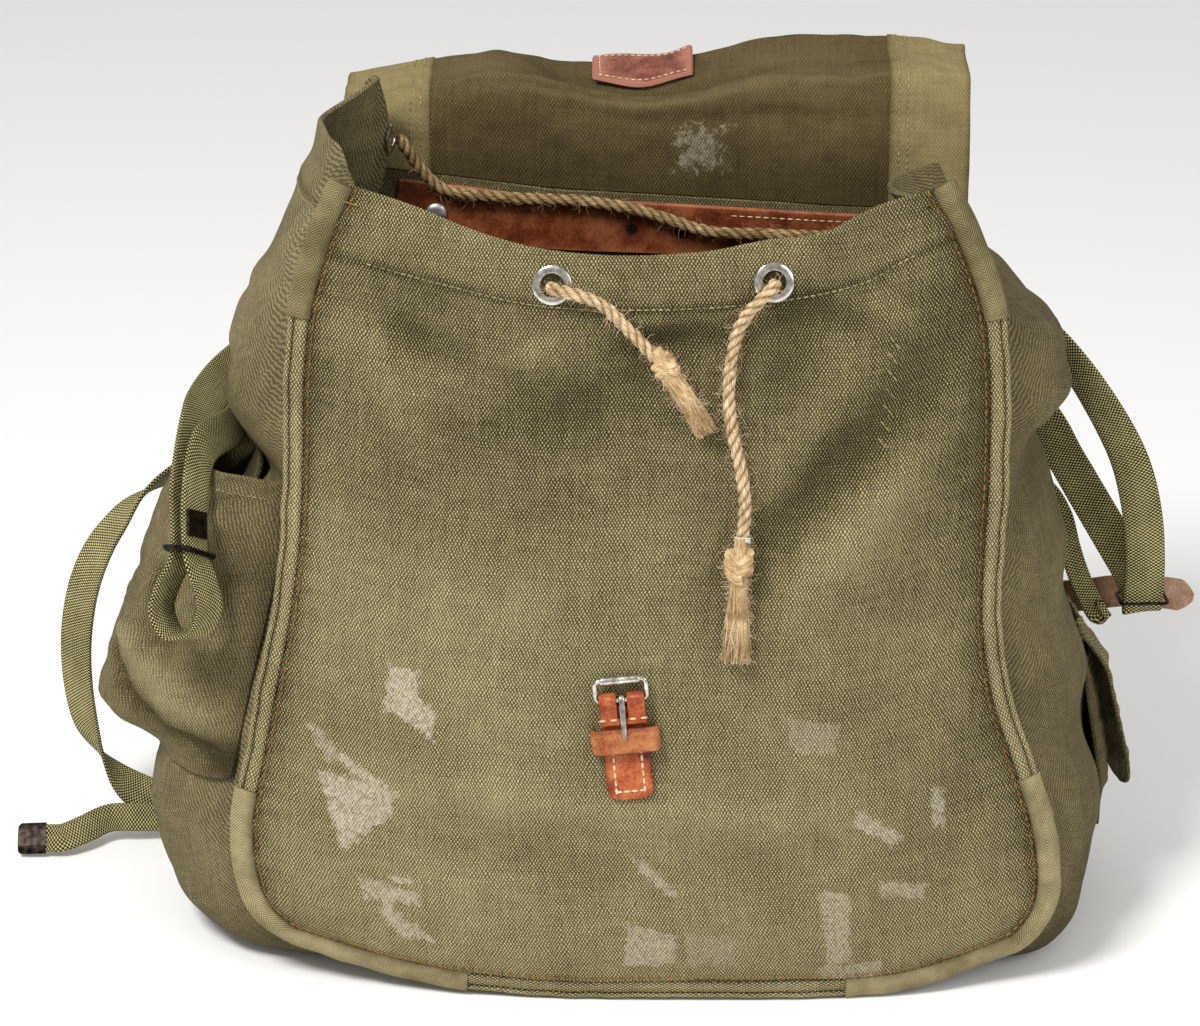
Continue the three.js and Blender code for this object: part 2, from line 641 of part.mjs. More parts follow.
// A flat ring with a hole, lying on a face at Z 0.
function washer({ hole, rim, thick }) {
  const profile = [
    [hole, thick],
    [hole, 0],
    [rim, 0],
    [rim - 1, thick],
    [hole, thick],
  ];
  return new THREE.LatheGeometry(profile.map(([r, h]) => new THREE.Vector2(r, h)), 12).rotateX(Math.PI / 2);
}

// A turned ring whose rims lie before and behind a wall of the given thickness.
function eyelet({ bore, barrel, rim, backRim, proud, lift, back, bevel }, thick) {
  const behind = -thick - lift;
  const profile = [
    [bore, proud],
    [bore, behind - back],
    [backRim, behind - back],
    [backRim, behind],
    [barrel, behind],
    [barrel, lift],
    [rim, lift],
    [rim - bevel, proud],
    [bore, proud],
  ];
  const turned = new THREE.LatheGeometry(profile.map(([r, h]) => new THREE.Vector2(r, h)), 12);
  return turned.rotateX(Math.PI / 2);
}

for (const [name, { x, z }] of Object.entries(FRONT_EYELETS)) {
  const { place, out } = onFront(x, z);
  add(name, eyelet(EYELET, CANVAS), "nickel", placedGroup(place, sideways(out), out));
}

const rivet = onPanel(backPoint, BAND_RIVET.x, BAND_RIVET.z);
const rivetLift = -CANVAS - LEATHER - 2.5 * GAP;
const rivetGroup = placedGroup(
  rivet.place.clone().addScaledVector(rivet.out, rivetLift),
  vec(1, 0, 0),
  vec(0, -1, 0),
);
add("band_rivet", washer(BAND_RIVET), "nickel", rivetGroup);

// The cord's three stretches meet in the eyelets' bores, where it lies on the lower edge.
const cordLeft = [
  offFront(-51, 359.5, -15),
  offFront(-47, 357.2, -8),
  offFront(-46, 356.7, -0.5),
  offFront(-45.6, 356.7, 5.2),
  offFront(-37, 355.5, 8.4),
  offFront(-23, 350.5, 5.6),
  offFront(-11.6, 340, 4.6),
  offFront(2.2, 325.6, 5.6),
];
const cordRight = [
  offFront(57, 358.2, -0.5),
  offFront(56.6, 358, 5.2),
  offFront(50, 352.5, 8.4),
  offFront(43.6, 345, 5.8),
  offFront(39.5, 335, 4.6),
  offFront(37.2, 322, 4.6),
  offFront(36.4, 305, 4.6),
  offFront(38.4, 289, 4.6),
  offFront(42.7, 270, 4.6),
  offFront(44.6, 254, 4.6),
  offFront(43.3, 239.4, 5.8),
];
const cordInside = [
  [-125.5, 57, 391],
  [-120, 62, 380.5],
  [-113, 66, 369.5],
  [-104, 69.5, 361],
  [-75, 71.8, 356.5],
  [-35, 72, 354.5],
  [-8.6, 72, 350.5],
  [11.6, 72, 344],
  [28.8, 72, 339],
  [59, 72, 337.5],
  [88, 68, 338],
  [106, 50, 345],
  [112, 8, 357],
  [108, -28, 370],
  [92, -46, 372],
  [72, -54, 364],
  offFront(59, 359.1, -15),
  offFront(57, 358.4, -8),
  offFront(57, 358.2, -0.9),
];
add("cord_left_end", tube(cordLeft, CORD_RADIUS, 13), "jute");
add("cord_inside", tube(cordInside, CORD_RADIUS, 36), "jute");
add("cord_right_end", tube(cordRight, CORD_RADIUS, 16), "jute");

// A knot with the frayed end of the cord under it: locks fused to the knot.
function tassel(knot, end, size) {
  const head = new THREE.SphereGeometry(1, 7, 5).scale(size.knot, size.knot * 0.9, size.knot * size.tall);
  const aim = vec(...end).sub(vec(...knot));
  const long = aim.length();
  const down = aim.normalize();
  const aside = vec(0, 0, 0).crossVectors(down, vec(0, 1, 0)).normalize();
  const forth = vec(0, 0, 0).crossVectors(aside, down);
  const locks = Array.from({ length: size.locks }, (_, k) => {
    const angle = (2 * Math.PI * k) / size.locks;
    const spread = aside.clone().multiplyScalar(Math.cos(angle));
    spread.addScaledVector(forth, Math.sin(angle) * 0.7);
    const at = (along, out) => {
      const place = vec(...knot).addScaledVector(down, along * long);
      return place.addScaledVector(spread, out * size.spread).toArray();
    };
    const reach = 1 - 0.08 * (k % 3);
    return tube([at(0, 0.4), at(0.5, 0.8), at(reach, 1)], size.lock, 2, 5);
  });
  return joined(head.translate(...knot), ...locks);
}
add("left_tassel", tassel(offFront(7, 320.9, 6.5), offFront(26, 291, 6), LEFT_TASSEL), "jute");
add("right_tassel", tassel(offFront(42, 228, 7), offFront(40.4, 182.5, 6.4), RIGHT_TASSEL), "jute");

// Lid thrown back

function lidPoint(x, share) {
  const place = share * (LID_FALL.length - 1);
  const value = (column) => read(LID_FALL, column, place);
  const hinge = read(BACK_TOP, "z", x, "x");
  const ridge = read(LID_WAVES, "ridge", x, "x");
  const top = read(LID_WAVES, "top", x, "x");
  const z = hinge * value("hinge") + ridge * value("ridge") + top * value("top") - value("drop");
  return vec(x, value("y"), z);
}
const lidPart = (left, right, from = 0, to = 1) => (u, v) => {
  return lidPoint(lerp(left, right, u), lerp(from, to, v));
};
const { left, leftSeam, rightSeam, right } = LID_EDGES;
const lidTab = lidPart(LID_TAB.left, LID_TAB.right, LID_TAB.from, LID_TAB.to);
add("lid_panel", wall(lidPart(leftSeam, rightSeam), 12, 14, CANVAS), "lidCanvas");
add("lid_left_strip", wall(lidPart(left, leftSeam - 2 * GAP), 2, 14, CANVAS), "tape");
add("lid_right_strip", wall(lidPart(rightSeam + 2 * GAP, right), 2, 14, CANVAS), "tape");
add("lid_tab", wall(lifted(lidTab, LEATHER + 2 * GAP), 6, 4, LEATHER), "tabLeather");
const lidStrap = [
  row([LID_STRAP.x, 150.8, 345], [1, 0, 0]),
  row([LID_STRAP.x, 150.4, 325], [1, 0, 0]),
  row([LID_STRAP.x, 147.6, 300], [1, 0, 0]),
  row([LID_STRAP.x, 146, 265], [1, 0, 0]),
  row([LID_STRAP.x, 145, 235], [1, 0, 0]),
  row([LID_STRAP.x, 144, 205], [1, 0, 0]),
];
add("lid_strap", strip(lidStrap, LID_STRAP, 1), "brownLeather");

// Front buckle, in a frame of its own: X along the bar, Y up the panel, Z out of it

const buckleSeat = onFront(BUCKLE.x, BUCKLE.z);
const buckleAcross = sideways(buckleSeat.out).applyAxisAngle(buckleSeat.out, degToRad(BUCKLE.turn));
const buckle = placedGroup(buckleSeat.place, buckleAcross, buckleSeat.out);

function arc(radius, y, z, from, to, steps) {
  return Array.from({ length: steps + 1 }, (_, k) => {
    const angle = lerp(from, to, k / steps);
    return [y + radius * Math.cos(angle), z + radius * Math.sin(angle)];
  });
}

// The leather goes up behind the bar, over it and down to a stitched end in front.
function chape() {
  const { leather, length, width, pivot } = BUCKLE;
  const [innerR, outerR] = [FRAME.bar + GAP, pivot - GAP];
  const quarter = Math.PI / 2;
  const [end, seam] = [-11.5, -9];
  const outer = [
    [-length, GAP],
    ...arc(outerR, 0, pivot, -quarter, quarter, 8),
    [end, GAP + 2 * leather],
    [end, GAP + leather],
    [-length, GAP + leather],
  ];
  const hole = [...arc(innerR, 0, pivot, quarter, -quarter, 6), [seam, pivot - innerR]];
  const profile = extruded(outer, width, [hole]).applyMatrix4(
    new THREE.Matrix4().makeBasis(vec(0, 1, 0), vec(0, 0, 1), vec(1, 0, 0)),
  );
  const slotWidth = PRONG.width + 2;
  const throughSlot = new THREE.BoxGeometry(slotWidth, 10, 14).translate(0, 1, pivot);
  const frontSlot = new THREE.BoxGeometry(slotWidth, 10, 8).translate(0, -3.5, GAP + leather + 4.3);
  return cut(profile, throughSlot, frontSlot);
}
add("buckle_chape", chape(), "buckleLeather", buckle);

const keeperSpan = KEEPER.top - KEEPER.bottom;
const keeperArch = extruded(
  [
    [-KEEPER.half, GAP],
    [-KEEPER.half + KEEPER.wall, GAP],
    [-KEEPER.half + KEEPER.wall, KEEPER.height - KEEPER.wall - 1.6],
    [-KEEPER.half + KEEPER.wall + 2, KEEPER.height - KEEPER.wall],
    [KEEPER.half - KEEPER.wall - 2, KEEPER.height - KEEPER.wall],
    [KEEPER.half - KEEPER.wall, KEEPER.height - KEEPER.wall - 1.6],
    [KEEPER.half - KEEPER.wall, GAP],
    [KEEPER.half, GAP],
    [KEEPER.half, KEEPER.height - 2.4],
    [KEEPER.half - 2.6, KEEPER.height],
    [-KEEPER.half + 2.6, KEEPER.height],
    [-KEEPER.half, KEEPER.height - 2.4],
  ],
  keeperSpan,
).rotateX(Math.PI / 2);
add("buckle_keeper", keeperArch.translate(0, KEEPER.bottom + keeperSpan / 2, 0), "buckleLeather", buckle);

const bar = (radius, length) => new THREE.CylinderGeometry(radius, radius, length, 10).rotateZ(Math.PI / 2);
const hinge = new THREE.Group();
hinge.position.z = BUCKLE.pivot;
buckle.add(hinge);
const swing = new THREE.Group();
swing.rotation.x = degToRad(FRAME.rise);
hinge.add(swing);
const leg = (x) => {
  const upright = new THREE.CylinderGeometry(FRAME.leg, FRAME.leg, FRAME.height + 2 * FRAME.leg, 10);
  return upright.translate(x, FRAME.height / 2, 0);
};
const frameBars = joined(
  bar(FRAME.bar, FRAME.width),
  bar(FRAME.bar, FRAME.width).translate(0, FRAME.height, 0),
  leg(-FRAME.width / 2),
  leg(FRAME.width / 2),
);
add("buckle_frame", frameBars, "nickel", swing);

const rollerProfile = [
  [ROLLER.bore, -ROLLER.length / 2],
  [ROLLER.radius, -ROLLER.length / 2],
  [ROLLER.radius, ROLLER.length / 2],
  [ROLLER.bore, ROLLER.length / 2],
  [ROLLER.bore, -ROLLER.length / 2],
];
const rollerTurned = new THREE.LatheGeometry(rollerProfile.map(([r, h]) => new THREE.Vector2(r, h)), 12);
add("buckle_roller", rollerTurned.rotateZ(Math.PI / 2).translate(0, FRAME.height, 0), "nickel", swing);

function prong() {
  const ring = new THREE.LatheGeometry(
    [
      [PRONG.bore, -PRONG.width / 2],
      [PRONG.ring, -PRONG.width / 2],
      [PRONG.ring, PRONG.width / 2],
      [PRONG.bore, PRONG.width / 2],
      [PRONG.bore, -PRONG.width / 2],
    ].map(([r, h]) => new THREE.Vector2(r, h)),
    12,
  ).rotateZ(Math.PI / 2);
  const half = PRONG.width / 2;
  const pin = extruded([[-half, -1], [half, -1], [0.8, -PRONG.length], [-0.8, -PRONG.length]], 1.6);
  return joined(ring, pin.translate(0, 0, PRONG.ring - 0.5));
}
const prongTurn = new THREE.Group();
prongTurn.rotation.x = degToRad(-PRONG.rise);
hinge.add(prongTurn);
add("buckle_prong", prong(), "nickel", prongTurn);

// Side pockets: cloth standing out from the gussets

function outward(rows, sign, place, depth, out) {
  const turn = lerp(-FAN, FAN, depth);
  const direction = vec(sign * Math.cos(turn), Math.sin(turn), 0);
  return gussetPoint(rows, sign, place, depth).addScaledVector(direction, out);
}

function pocketOut(pocket, across, up) {
  const round = 1 - Math.abs(2 * across - 1) ** 2.2;
  const press = lerp(1, pocket.mouth, smoothstep(up, 0.6, 1));
  return POCKET_EDGE + pocket.out * round * press * smoothstep(up, 0, pocket.floor);
}

function pocketWall(rows, sign, pocket, out) {
  return (u, v) => {
    const across = sign < 0 ? 1 - u : u;
    const place = lerp(pocket.low, pocket.high, v);
    return outward(rows, sign, place, lerp(pocket.front, pocket.back, across), out(across, v));
  };
}

const leftPocket = pocketWall(LEFT_SIDE, -1, LEFT_POCKET, (across, up) => {
  return pocketOut(LEFT_POCKET, across, up);
});
add("left_pocket", wall(leftPocket, 10, 12, CANVAS), "darkCanvas");
const leftFlap = pocketWall(LEFT_SIDE, -1, LEFT_FLAP, () => LEFT_FLAP.out);
add("left_pocket_flap", wall(leftFlap, 5, 6, CANVAS), "darkCanvas");
const rightPocket = pocketWall(RIGHT_SIDE, 1, RIGHT_POCKET, (across, up) => {
  return pocketOut(RIGHT_POCKET, across, up);
});
add("right_pocket", wall(rightPocket, 8, 8, CANVAS), "darkCanvas");
const rightFlap = pocketWall(RIGHT_SIDE, 1, RIGHT_FLAP, (across, up) => {
  return POCKET_EDGE + RIGHT_FLAP.over * smoothstep(1 - up, 0, RIGHT_FLAP.turn) + RIGHT_FLAP.lift * (1 - up);
});
add("right_pocket_flap", wall(rightFlap, 6, 8, CANVAS), "darkCanvas");

// Straps

const ROOT_LIFT = WEBBING.thick / 2 + 1.5 * GAP;
const upright = [0, 0, 1];

// A strip lying on the back panel, its width up the panel or down it.
function onBackRow(x, z, lift, up = 1) {
  const { place, out } = onPanel(backPoint, x, z);
  const width = vec(0, 0, up).addScaledVector(out, -up * out.z).normalize();
  return row(place.addScaledVector(out, lift).toArray(), width.toArray());
}
const root = (sign, z) => onBackRow(sign * STRAP_ROOTS.x, z, ROOT_LIFT);
const bend = (sign, z) => onBackRow(sign * STRAP_ROOTS.bend, z, ROOT_LIFT + GAP);

const leftStrap = [
  root(-1, STRAP_ROOTS.upper),
  bend(-1, STRAP_ROOTS.upper),
  row([-168, 92, 291], [0, 0.15, 1]),
  row([-194, 68, 282], [-0.25, 0.1, 1]),
  row([-210, 36, 278], [-0.6, 0, 0.8]),
  row([-218, 4, 275], [-0.75, -0.3, 0.55]),
  row([-223, -24, 268], [-0.55, -0.7, 0.5]),
  row([-225.5, -54, 247], [-0.47, -0.8, 0.4]),
  row([-224.1, -73.9, 222.2], [-0.45, -0.8, 0.35]),
  row([-231, -77, 207.6], [-0.45, -0.8, 0.3]),
  row([-235, -79, 193.6], [-0.45, -0.8, 0.3]),
  row([-229, -81, 182], [-0.45, -0.8, 0.3]),
  row([-217.5, -83, 183], [-0.45, -0.8, 0.3]),
  row([-211.5, -82, 195.6], [-0.45, -0.8, 0.3]),
  row([-213.5, -80, 208.6], [-0.45, -0.8, 0.3]),
  row([-217.9, -77.1, 223], [-0.45, -0.8, 0.35]),
  row([-219, -62, 247], [-0.47, -0.75, 0.45]),
  row([-216, -40, 264], [-0.5, -0.5, 0.7]),
  row([-206, -8, 262], [-0.35, 0, 0.93]),
  row([-203, 24, 262], [-0.25, 0, 1]),
  row([-195, 60, 261], [-0.1, 0, 1]),
  row([-168, 92, 261], [0, 0, 1]),
  bend(-1, STRAP_ROOTS.middle),
  root(-1, STRAP_ROOTS.middle),
];
const rightStrap = [
  root(1, STRAP_ROOTS.upper),
  bend(1, STRAP_ROOTS.upper),
  row([168, 92, 301], [0, 0.1, 1]),
  row([192, 70, 292], [0.3, -0.3, 0.9]),
  row([208, 52, 283], [0.35, -0.5, 0.8]),
  row([225, 40, 262], [0.5, -0.4, 0.75]),
  row([241, 32, 234], [0.7, -0.25, 0.62]),
  row([249, 28.5, 206], [0.92, -0.1, 0.36]),
  row([252, 28, 180], [0.97, -0.1, 0.24]),
  row([252.6, 29.8, 156], [0.97, -0.1, 0.2]),
  row([252.4, 33, 149.6], [0.97, -0.1, 0.2]),
  row([252.2, 36.2, 156], [0.97, -0.1, 0.2]),
  row([248, 38.5, 167], [0.95, -0.1, 0.3]),
  row([240, 43, 180], [0.9, -0.1, 0.4]),
  row([228, 49, 199], [0.8, -0.1, 0.6]),
  row([213, 56, 223], [0.6, -0.1, 0.8]),
  row([198, 66, 246], [0.4, -0.1, 0.9]),
  row([168, 93, 262], [0, 0.1, 1]),
  bend(1, STRAP_ROOTS.middle),
  root(1, STRAP_ROOTS.middle),
];
const leftLower = [
  root(-1, STRAP_ROOTS.lower),
  bend(-1, STRAP_ROOTS.lower),
  row([-172, 95, 223], [0.1, 0.1, 1]),
  row([-216, 84, 218], [0.35, -0.2, 0.9]),
  row([-256, 72, 201], [0.6, -0.4, 0.7]),
  row([-281, 70, 176], [0.75, -0.5, 0.45]),
  row([-296, 71, 147], [0.8, -0.5, 0.3]),
  row([-303.5, 74, 111], [0.85, -0.5, 0.1]),
  row([-303.4, 77, 74], [0.8, -0.5, -0.2]),
  row([-297, 78, 48], [0.6, -0.5, -0.55]),
  row([-278, 76, 24], [0.4, -0.5, -0.75]),
  row([-252, 76, 14.5], [0.15, -0.4, -0.9]),
  row([-222, 88, 14], [0, -0.3, -1]),
  row([-196, 96, 16], [0, -0.1, -1]),
  row([-172, 97, 22], [0, 0, -1]),
  onBackRow(-140, 32, ROOT_LIFT, -1),
];
const rightLower = [
  root(1, STRAP_ROOTS.lower),
  row([120, 98, 222], [0.2, 0, 1]),
  row([160, 106, 196], [0.7, 0, 0.7]),
  row([180, 108, 150], [1, 0, 0.1]),
  row([178, 107, 100], [1, 0, -0.2]),
  row([168, 104, 58], [0.7, 0, -0.7]),
  onBackRow(146, 37, ROOT_LIFT + 3, -1),
  onBackRow(118, 33, ROOT_LIFT, -1),
];
const leftTail = [
  row([-195.2, 93, 15.5], [0, 0.1, 1]),
  row([-220.8, 84.9, 13.5], [0, 0.3, 1]),
  row([-246, 66, 12.5], [0.05, 0.35, 0.93]),
  row([-270, 61, 13.5], [0.1, 0.4, 0.9]),
  row([-288, 60, 13.5], [0.05, 0.5, 0.85]),
  row([-300, 50, 12], [-0.1, 0.6, 0.75]),
  row([-311, 43.5, 10], [-0.25, 0.6, 0.7]),
  row([-320, 43.5, 9.5], [-0.3, 0.6, 0.7]),
];
const rightLeather = [
  onBackRow(150, 126, LEATHER / 2 + GAP),
  row([184, 98, 129], upright),
  row([210, 86, 134], [0, 0.1, 1]),
  row([227, 70, 142], [0, 0.1, 1]),
  row([243, 59, 149], [0, 0.1, 1]),
  row([258, 54, 151], [0.1, 0.1, 1]),
  row([270, 51, 151], [0.1, 0.1, 1]),
  row([281, 48, 150], [0.2, 0.1, 1]),
];
const rightLoop = [
  onBackRow(150, 196, SIDE_LOOP.thick / 2 + GAP),
  row([183, 93, 200], upright),
  row([202, 79, 200], [0.4, 0.2, 0.9]),
  row([212, 65, 190], [0.8, 0.3, 0.5]),
  row([217, 57, 174], [0.8, 0.4, 0.4]),
  row([222, 54, 160], [0.8, 0.4, 0.4]),
  row([228, 54, 147], [0.8, 0.4, 0.4]),
  row([233, 53, 139], [0.8, 0.4, 0.4]),
  row([237, 55, 142], [0.7, 0.4, 0.5]),
];
add("left_strap", strip(leftStrap, WEBBING), "webbing");
add("right_strap", strip(rightStrap, WEBBING), "webbing");
add("left_lower_strap", strip(leftLower, WEBBING), "webbing");
add("right_lower_strap", strip(rightLower, WEBBING), "webbing");
add("left_tail", strip(leftTail, TAIL), "webbing");
add("right_side_loop", strip(rightLoop, SIDE_LOOP), "webbing");
add("right_leather_end", strip(rightLeather, { width: 17, thick: LEATHER }), "brownLeather");

// Metal on the straps

const leftFrames = stripFrames(leftStrap, 1);
const sliderLegs = [leftFrames[8], leftFrames[15]];
const sliderPlace = sliderLegs[0].place.clone().add(sliderLegs[1].place).multiplyScalar(0.5);
const leftSlider = placedGroup(sliderPlace, sliderLegs[0].width, sliderLegs[0].run);
const legOffset = sliderLegs[0].place.distanceTo(sliderLegs[1].place) / 2;
const sliderSlot = (side) => rectangle(WEBBING.width / 2 + SLIDER.room, SLIDER.slot / 2, 0, side * legOffset);
add(
  "left_slider",
  extruded(rectangle(SLIDER.half, SLIDER.depth), SLIDER.thick, [sliderSlot(-1), sliderSlot(1)]),
  "blackMetal",
  leftSlider,
);

const plateFrame = stripFrames(leftStrap, 4)[STRAP_PLATE.station];
const plateSide = plateFrame.out.y < 0 ? 1 : -1;
const plateLift = plateSide * (WEBBING.thick / 2 + GAP + STRAP_PLATE.thick / 2);
const plate = placedGroup(
  plateFrame.place.clone().addScaledVector(plateFrame.out, plateLift),
  plateFrame.width,
  plateFrame.out,
);
add(
  "left_strap_plate",
  new THREE.BoxGeometry(STRAP_PLATE.width, STRAP_PLATE.length, STRAP_PLATE.thick),
  "blackMetal",
  plate,
);

const tailFrames = stripFrames(leftTail, 1);
const tailEnd = tailFrames[tailFrames.length - 1];
const tipPlace = tailEnd.place.clone().addScaledVector(tailEnd.run, TIP.length / 2 + 0.3);
const tip = placedGroup(tipPlace, tailEnd.width, tailEnd.out);
add("left_tail_tip", new THREE.BoxGeometry(TIP.width, TIP.length, TIP.thick), "blackMetal", tip);

const rightFrames = stripFrames(rightStrap, 1);
const wireLegs = [rightFrames[9], rightFrames[11]];
const wirePlace = wireLegs[0].place.clone().add(wireLegs[1].place).multiplyScalar(0.5);
const wireAcross = wireLegs[0].place.clone().sub(wireLegs[1].place).normalize();
const wireAlong = wireLegs[0].width.clone();
wireAlong.addScaledVector(wireAcross, -wireAlong.dot(wireAcross)).normalize();
const rightWire = placedGroup(wirePlace, wireAlong, vec(0, 0, 0).crossVectors(wireAlong, wireAcross));
const wireOutline = rectangle(WIRE.halfX + WIRE.bar, WIRE.halfY + WIRE.bar);
const wireWindow = rectangle(WIRE.halfX, WIRE.halfY);
add("right_slider", extruded(wireOutline, WIRE.bar, [wireWindow]), "blackMetal", rightWire);

export default rucksack;
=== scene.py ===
# %% [markdown]
# An old canvas rucksack that stands open, with its lid thrown back.
# The imported solids come first: they are the frame that every cloth, strap and cord is laid on.

# %% Load the frame
import math
from functools import partial

import bpy
import numpy as np
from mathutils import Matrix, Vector


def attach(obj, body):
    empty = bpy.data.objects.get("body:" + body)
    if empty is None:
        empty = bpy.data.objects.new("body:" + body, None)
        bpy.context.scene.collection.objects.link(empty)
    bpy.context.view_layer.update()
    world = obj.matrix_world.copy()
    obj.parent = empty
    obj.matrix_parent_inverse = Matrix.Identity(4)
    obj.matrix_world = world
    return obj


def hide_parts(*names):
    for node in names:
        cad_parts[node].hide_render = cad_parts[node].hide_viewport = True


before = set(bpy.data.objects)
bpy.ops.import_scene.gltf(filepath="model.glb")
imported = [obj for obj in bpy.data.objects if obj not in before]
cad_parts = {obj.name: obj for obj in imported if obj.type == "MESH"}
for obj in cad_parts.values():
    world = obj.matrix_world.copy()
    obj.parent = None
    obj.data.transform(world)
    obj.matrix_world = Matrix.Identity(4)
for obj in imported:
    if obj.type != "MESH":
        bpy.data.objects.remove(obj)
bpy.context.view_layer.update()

MM = 0.001

# %% [markdown]
# The camera looks slightly down on the front panel. Its height, distance and zoom come from the photo:
# the front panel measures about two pixels to the millimetre. Instead of shifting the lens, the camera is
# aimed a little to one side, so that the bag sits in the frame as in the photo.

# %% Camera
PHOTO = {"width": 1200, "height": 1026}
VIEW = {"elevation": math.radians(22), "distance": 1800.0, "target": (0, -20, 205)}
TARGET_PIXEL = (650, 545)
PIXELS_PER_MM = 2.02
SENSOR = 36.0


def add_object(name, data):
    made = bpy.data.objects.new(name, data)
    bpy.context.scene.collection.objects.link(made)
    return made


look_back = Vector((0, -math.cos(VIEW["elevation"]), math.sin(VIEW["elevation"])))
look_up = Vector((0, math.sin(VIEW["elevation"]), math.cos(VIEW["elevation"])))
eye = Vector(VIEW["target"]) + look_back * VIEW["distance"]
aim = Vector(VIEW["target"])
aim += Vector((1, 0, 0)) * (PHOTO["width"] / 2 - TARGET_PIXEL[0]) / PIXELS_PER_MM
aim += look_up * (TARGET_PIXEL[1] - PHOTO["height"] / 2) / PIXELS_PER_MM

camera = add_object("camera", bpy.data.cameras.new("camera"))
camera.data.sensor_width = SENSOR
camera.data.lens = PIXELS_PER_MM * VIEW["distance"] * SENSOR / PHOTO["width"]
camera.data.clip_end = 100
camera.location = eye * MM
camera.rotation_euler = (aim - eye).to_track_quat("-Z", "Y").to_euler()
bpy.context.scene.camera = camera
print("camera lens mm:", round(camera.data.lens, 1))

# %% [markdown]
# Colours are written as sRGB hex values, as a colour picker shows them, and turned to linear light here.
# One small function adds a node with its settings, fills its inputs with values or with another node's
# output, and gives back one of its own outputs. Kinds are named without ShaderNode in front. Patterns are
# sized in mm, and a texture's scale is one over that size.

# %% Colours and nodes
def linear(code):
    parts = [int(code[i:i + 2], 16) / 255 for i in (1, 3, 5)]
    light = [c / 12.92 if c <= 0.04045 else ((c + 0.055) / 1.055) ** 2.4 for c in parts]
    return (*light, 1.0)


def per_mm(size):
    return 1 / (size * MM)


def add_node(tree, kind, inputs=None, output=0, stops=(), **settings):
    """Adds a node and gives back one of its outputs, or the node itself where the output is None."""
    node = tree.nodes.new(kind if "Node" in kind else "ShaderNode" + kind)
    for key, value in settings.items():
        setattr(node, key, value)
    for key, value in (inputs or {}).items():
        if isinstance(value, bpy.types.NodeSocket):
            tree.links.new(value, node.inputs[key])
        else:
            node.inputs[key].default_value = value
    if stops:
        elements = node.color_ramp.elements
        for element, (position, code) in zip(elements, (stops[0], stops[-1])):
            element.position, element.color = position, linear(code)
        for position, code in stops[1:-1]:
            elements.new(position).color = linear(code)
    return node if output is None else node.outputs[output]


print("mid grey as light:", round(linear("#808080")[0], 3))

# %% [markdown]
# Most finishes share a few steps. A tone is a sum of patterns, each with its weight. A plain weave is the
# product of two waves along the two thread directions, and single threads are noise drawn out along them.
# Roughness and gloss are the same all over a cloth, so they are set on the shader itself.

# %% Steps that the finishes share
def new_material(name, rough, shine):
    material = bpy.data.materials.new(name)
    material.use_nodes = True
    shader = material.node_tree.nodes["Principled BSDF"]
    shader.inputs["Roughness"].default_value = rough
    shader.inputs["Specular IOR Level"].default_value = shine
    return material, partial(add_node, material.node_tree), shader


def readings(node, *painted):
    """The map along the threads, the place on the bag, and values that the mesh carries by name."""
    values = [node("Attribute", output="Fac", attribute_name=name) for name in painted]
    return node("UVMap", uv_map="cloth"), node("TexCoord", output="Object"), *values


def total(node, *shares):
    """The sum of values times their weights, each given as (value, weight)."""
    found = 0.0
    for value, weight in shares:
        found = node("Math", {0: value, 1: weight, 2: found}, operation="MULTIPLY_ADD")
    return found


def stretched(node, vector, across, along):
    """Noise drawn out to a size across and a size along the threads."""
    drawn = node("Mapping", {"Vector": vector, "Scale": (per_mm(across), per_mm(along), 1)})
    return node("TexNoise", {"Vector": drawn, "Scale": 1.0})


def plain_weave(node, vector, across, along):
    """Waves along both thread directions, with half waves of the given mm, multiplied."""
    split, found = node("SeparateXYZ", {0: vector}, None).outputs, {}
    for k, size in enumerate((across, along)):
        turn = node("Math", {0: split[k], 1: math.pi / (size * MM)}, operation="MULTIPLY")
        found[k] = node("Math", {0: turn}, operation="SINE")
    return node("Math", found, operation="MULTIPLY")


def join(output, shader, name):
    shader.id_data.links.new(output, shader.inputs[name])


def finish_surface(node, shader, colour, height, strength, depth):
    """Joins the colour, and a relief of the given depth in mm, to the shader."""
    relief = node("Bump", {"Strength": strength, "Distance": depth * MM, "Height": height})
    join(colour, shader, "Base Color")
    join(relief, shader, "Normal")


print("a pattern of 2 mm has the scale", per_mm(2))

# %% [markdown]
# The shapes of the bag follow short tables: a row for each height or fold, and a smooth curve between rows.
# The same tables drive the solids, so the cloth lies where they are.

# %% Reading tables
def table(columns, *rows):
    return dict(zip(columns.split(), np.array(rows, float).T))


def read(rows, column, place, key=None):
    values = rows[column]
    at = rows[key] if key else np.arange(len(values), dtype=float)
    place = np.asarray(place, float)
    count = len(values)
    before = np.maximum(np.arange(count) - 1, 0)
    after = np.minimum(np.arange(count) + 1, count - 1)
    slope = (values[after] - values[before]) / (at[after] - at[before])
    i = np.searchsorted(at[1:-1], place, side="left")
    step = at[i + 1] - at[i]
    t = np.clip((place - at[i]) / step, 0, 1)
    rise = values[i + 1] - values[i]
    start_bend = slope[i] * step - rise
    end_bend = rise - slope[i + 1] * step
    return values[i] + rise * t + t * (1 - t) * (start_bend * (1 - t) + end_bend * t)


def lerp(a, b, t):
    return a + (b - a) * t


def smooth(x, low, high):
    t = np.clip((np.asarray(x, float) - low) / (high - low), 0, 1)
    return t * t * (3 - 2 * t)


def unit(vectors):
    return vectors / np.maximum(np.linalg.norm(vectors, axis=-1, keepdims=True), 1e-12)


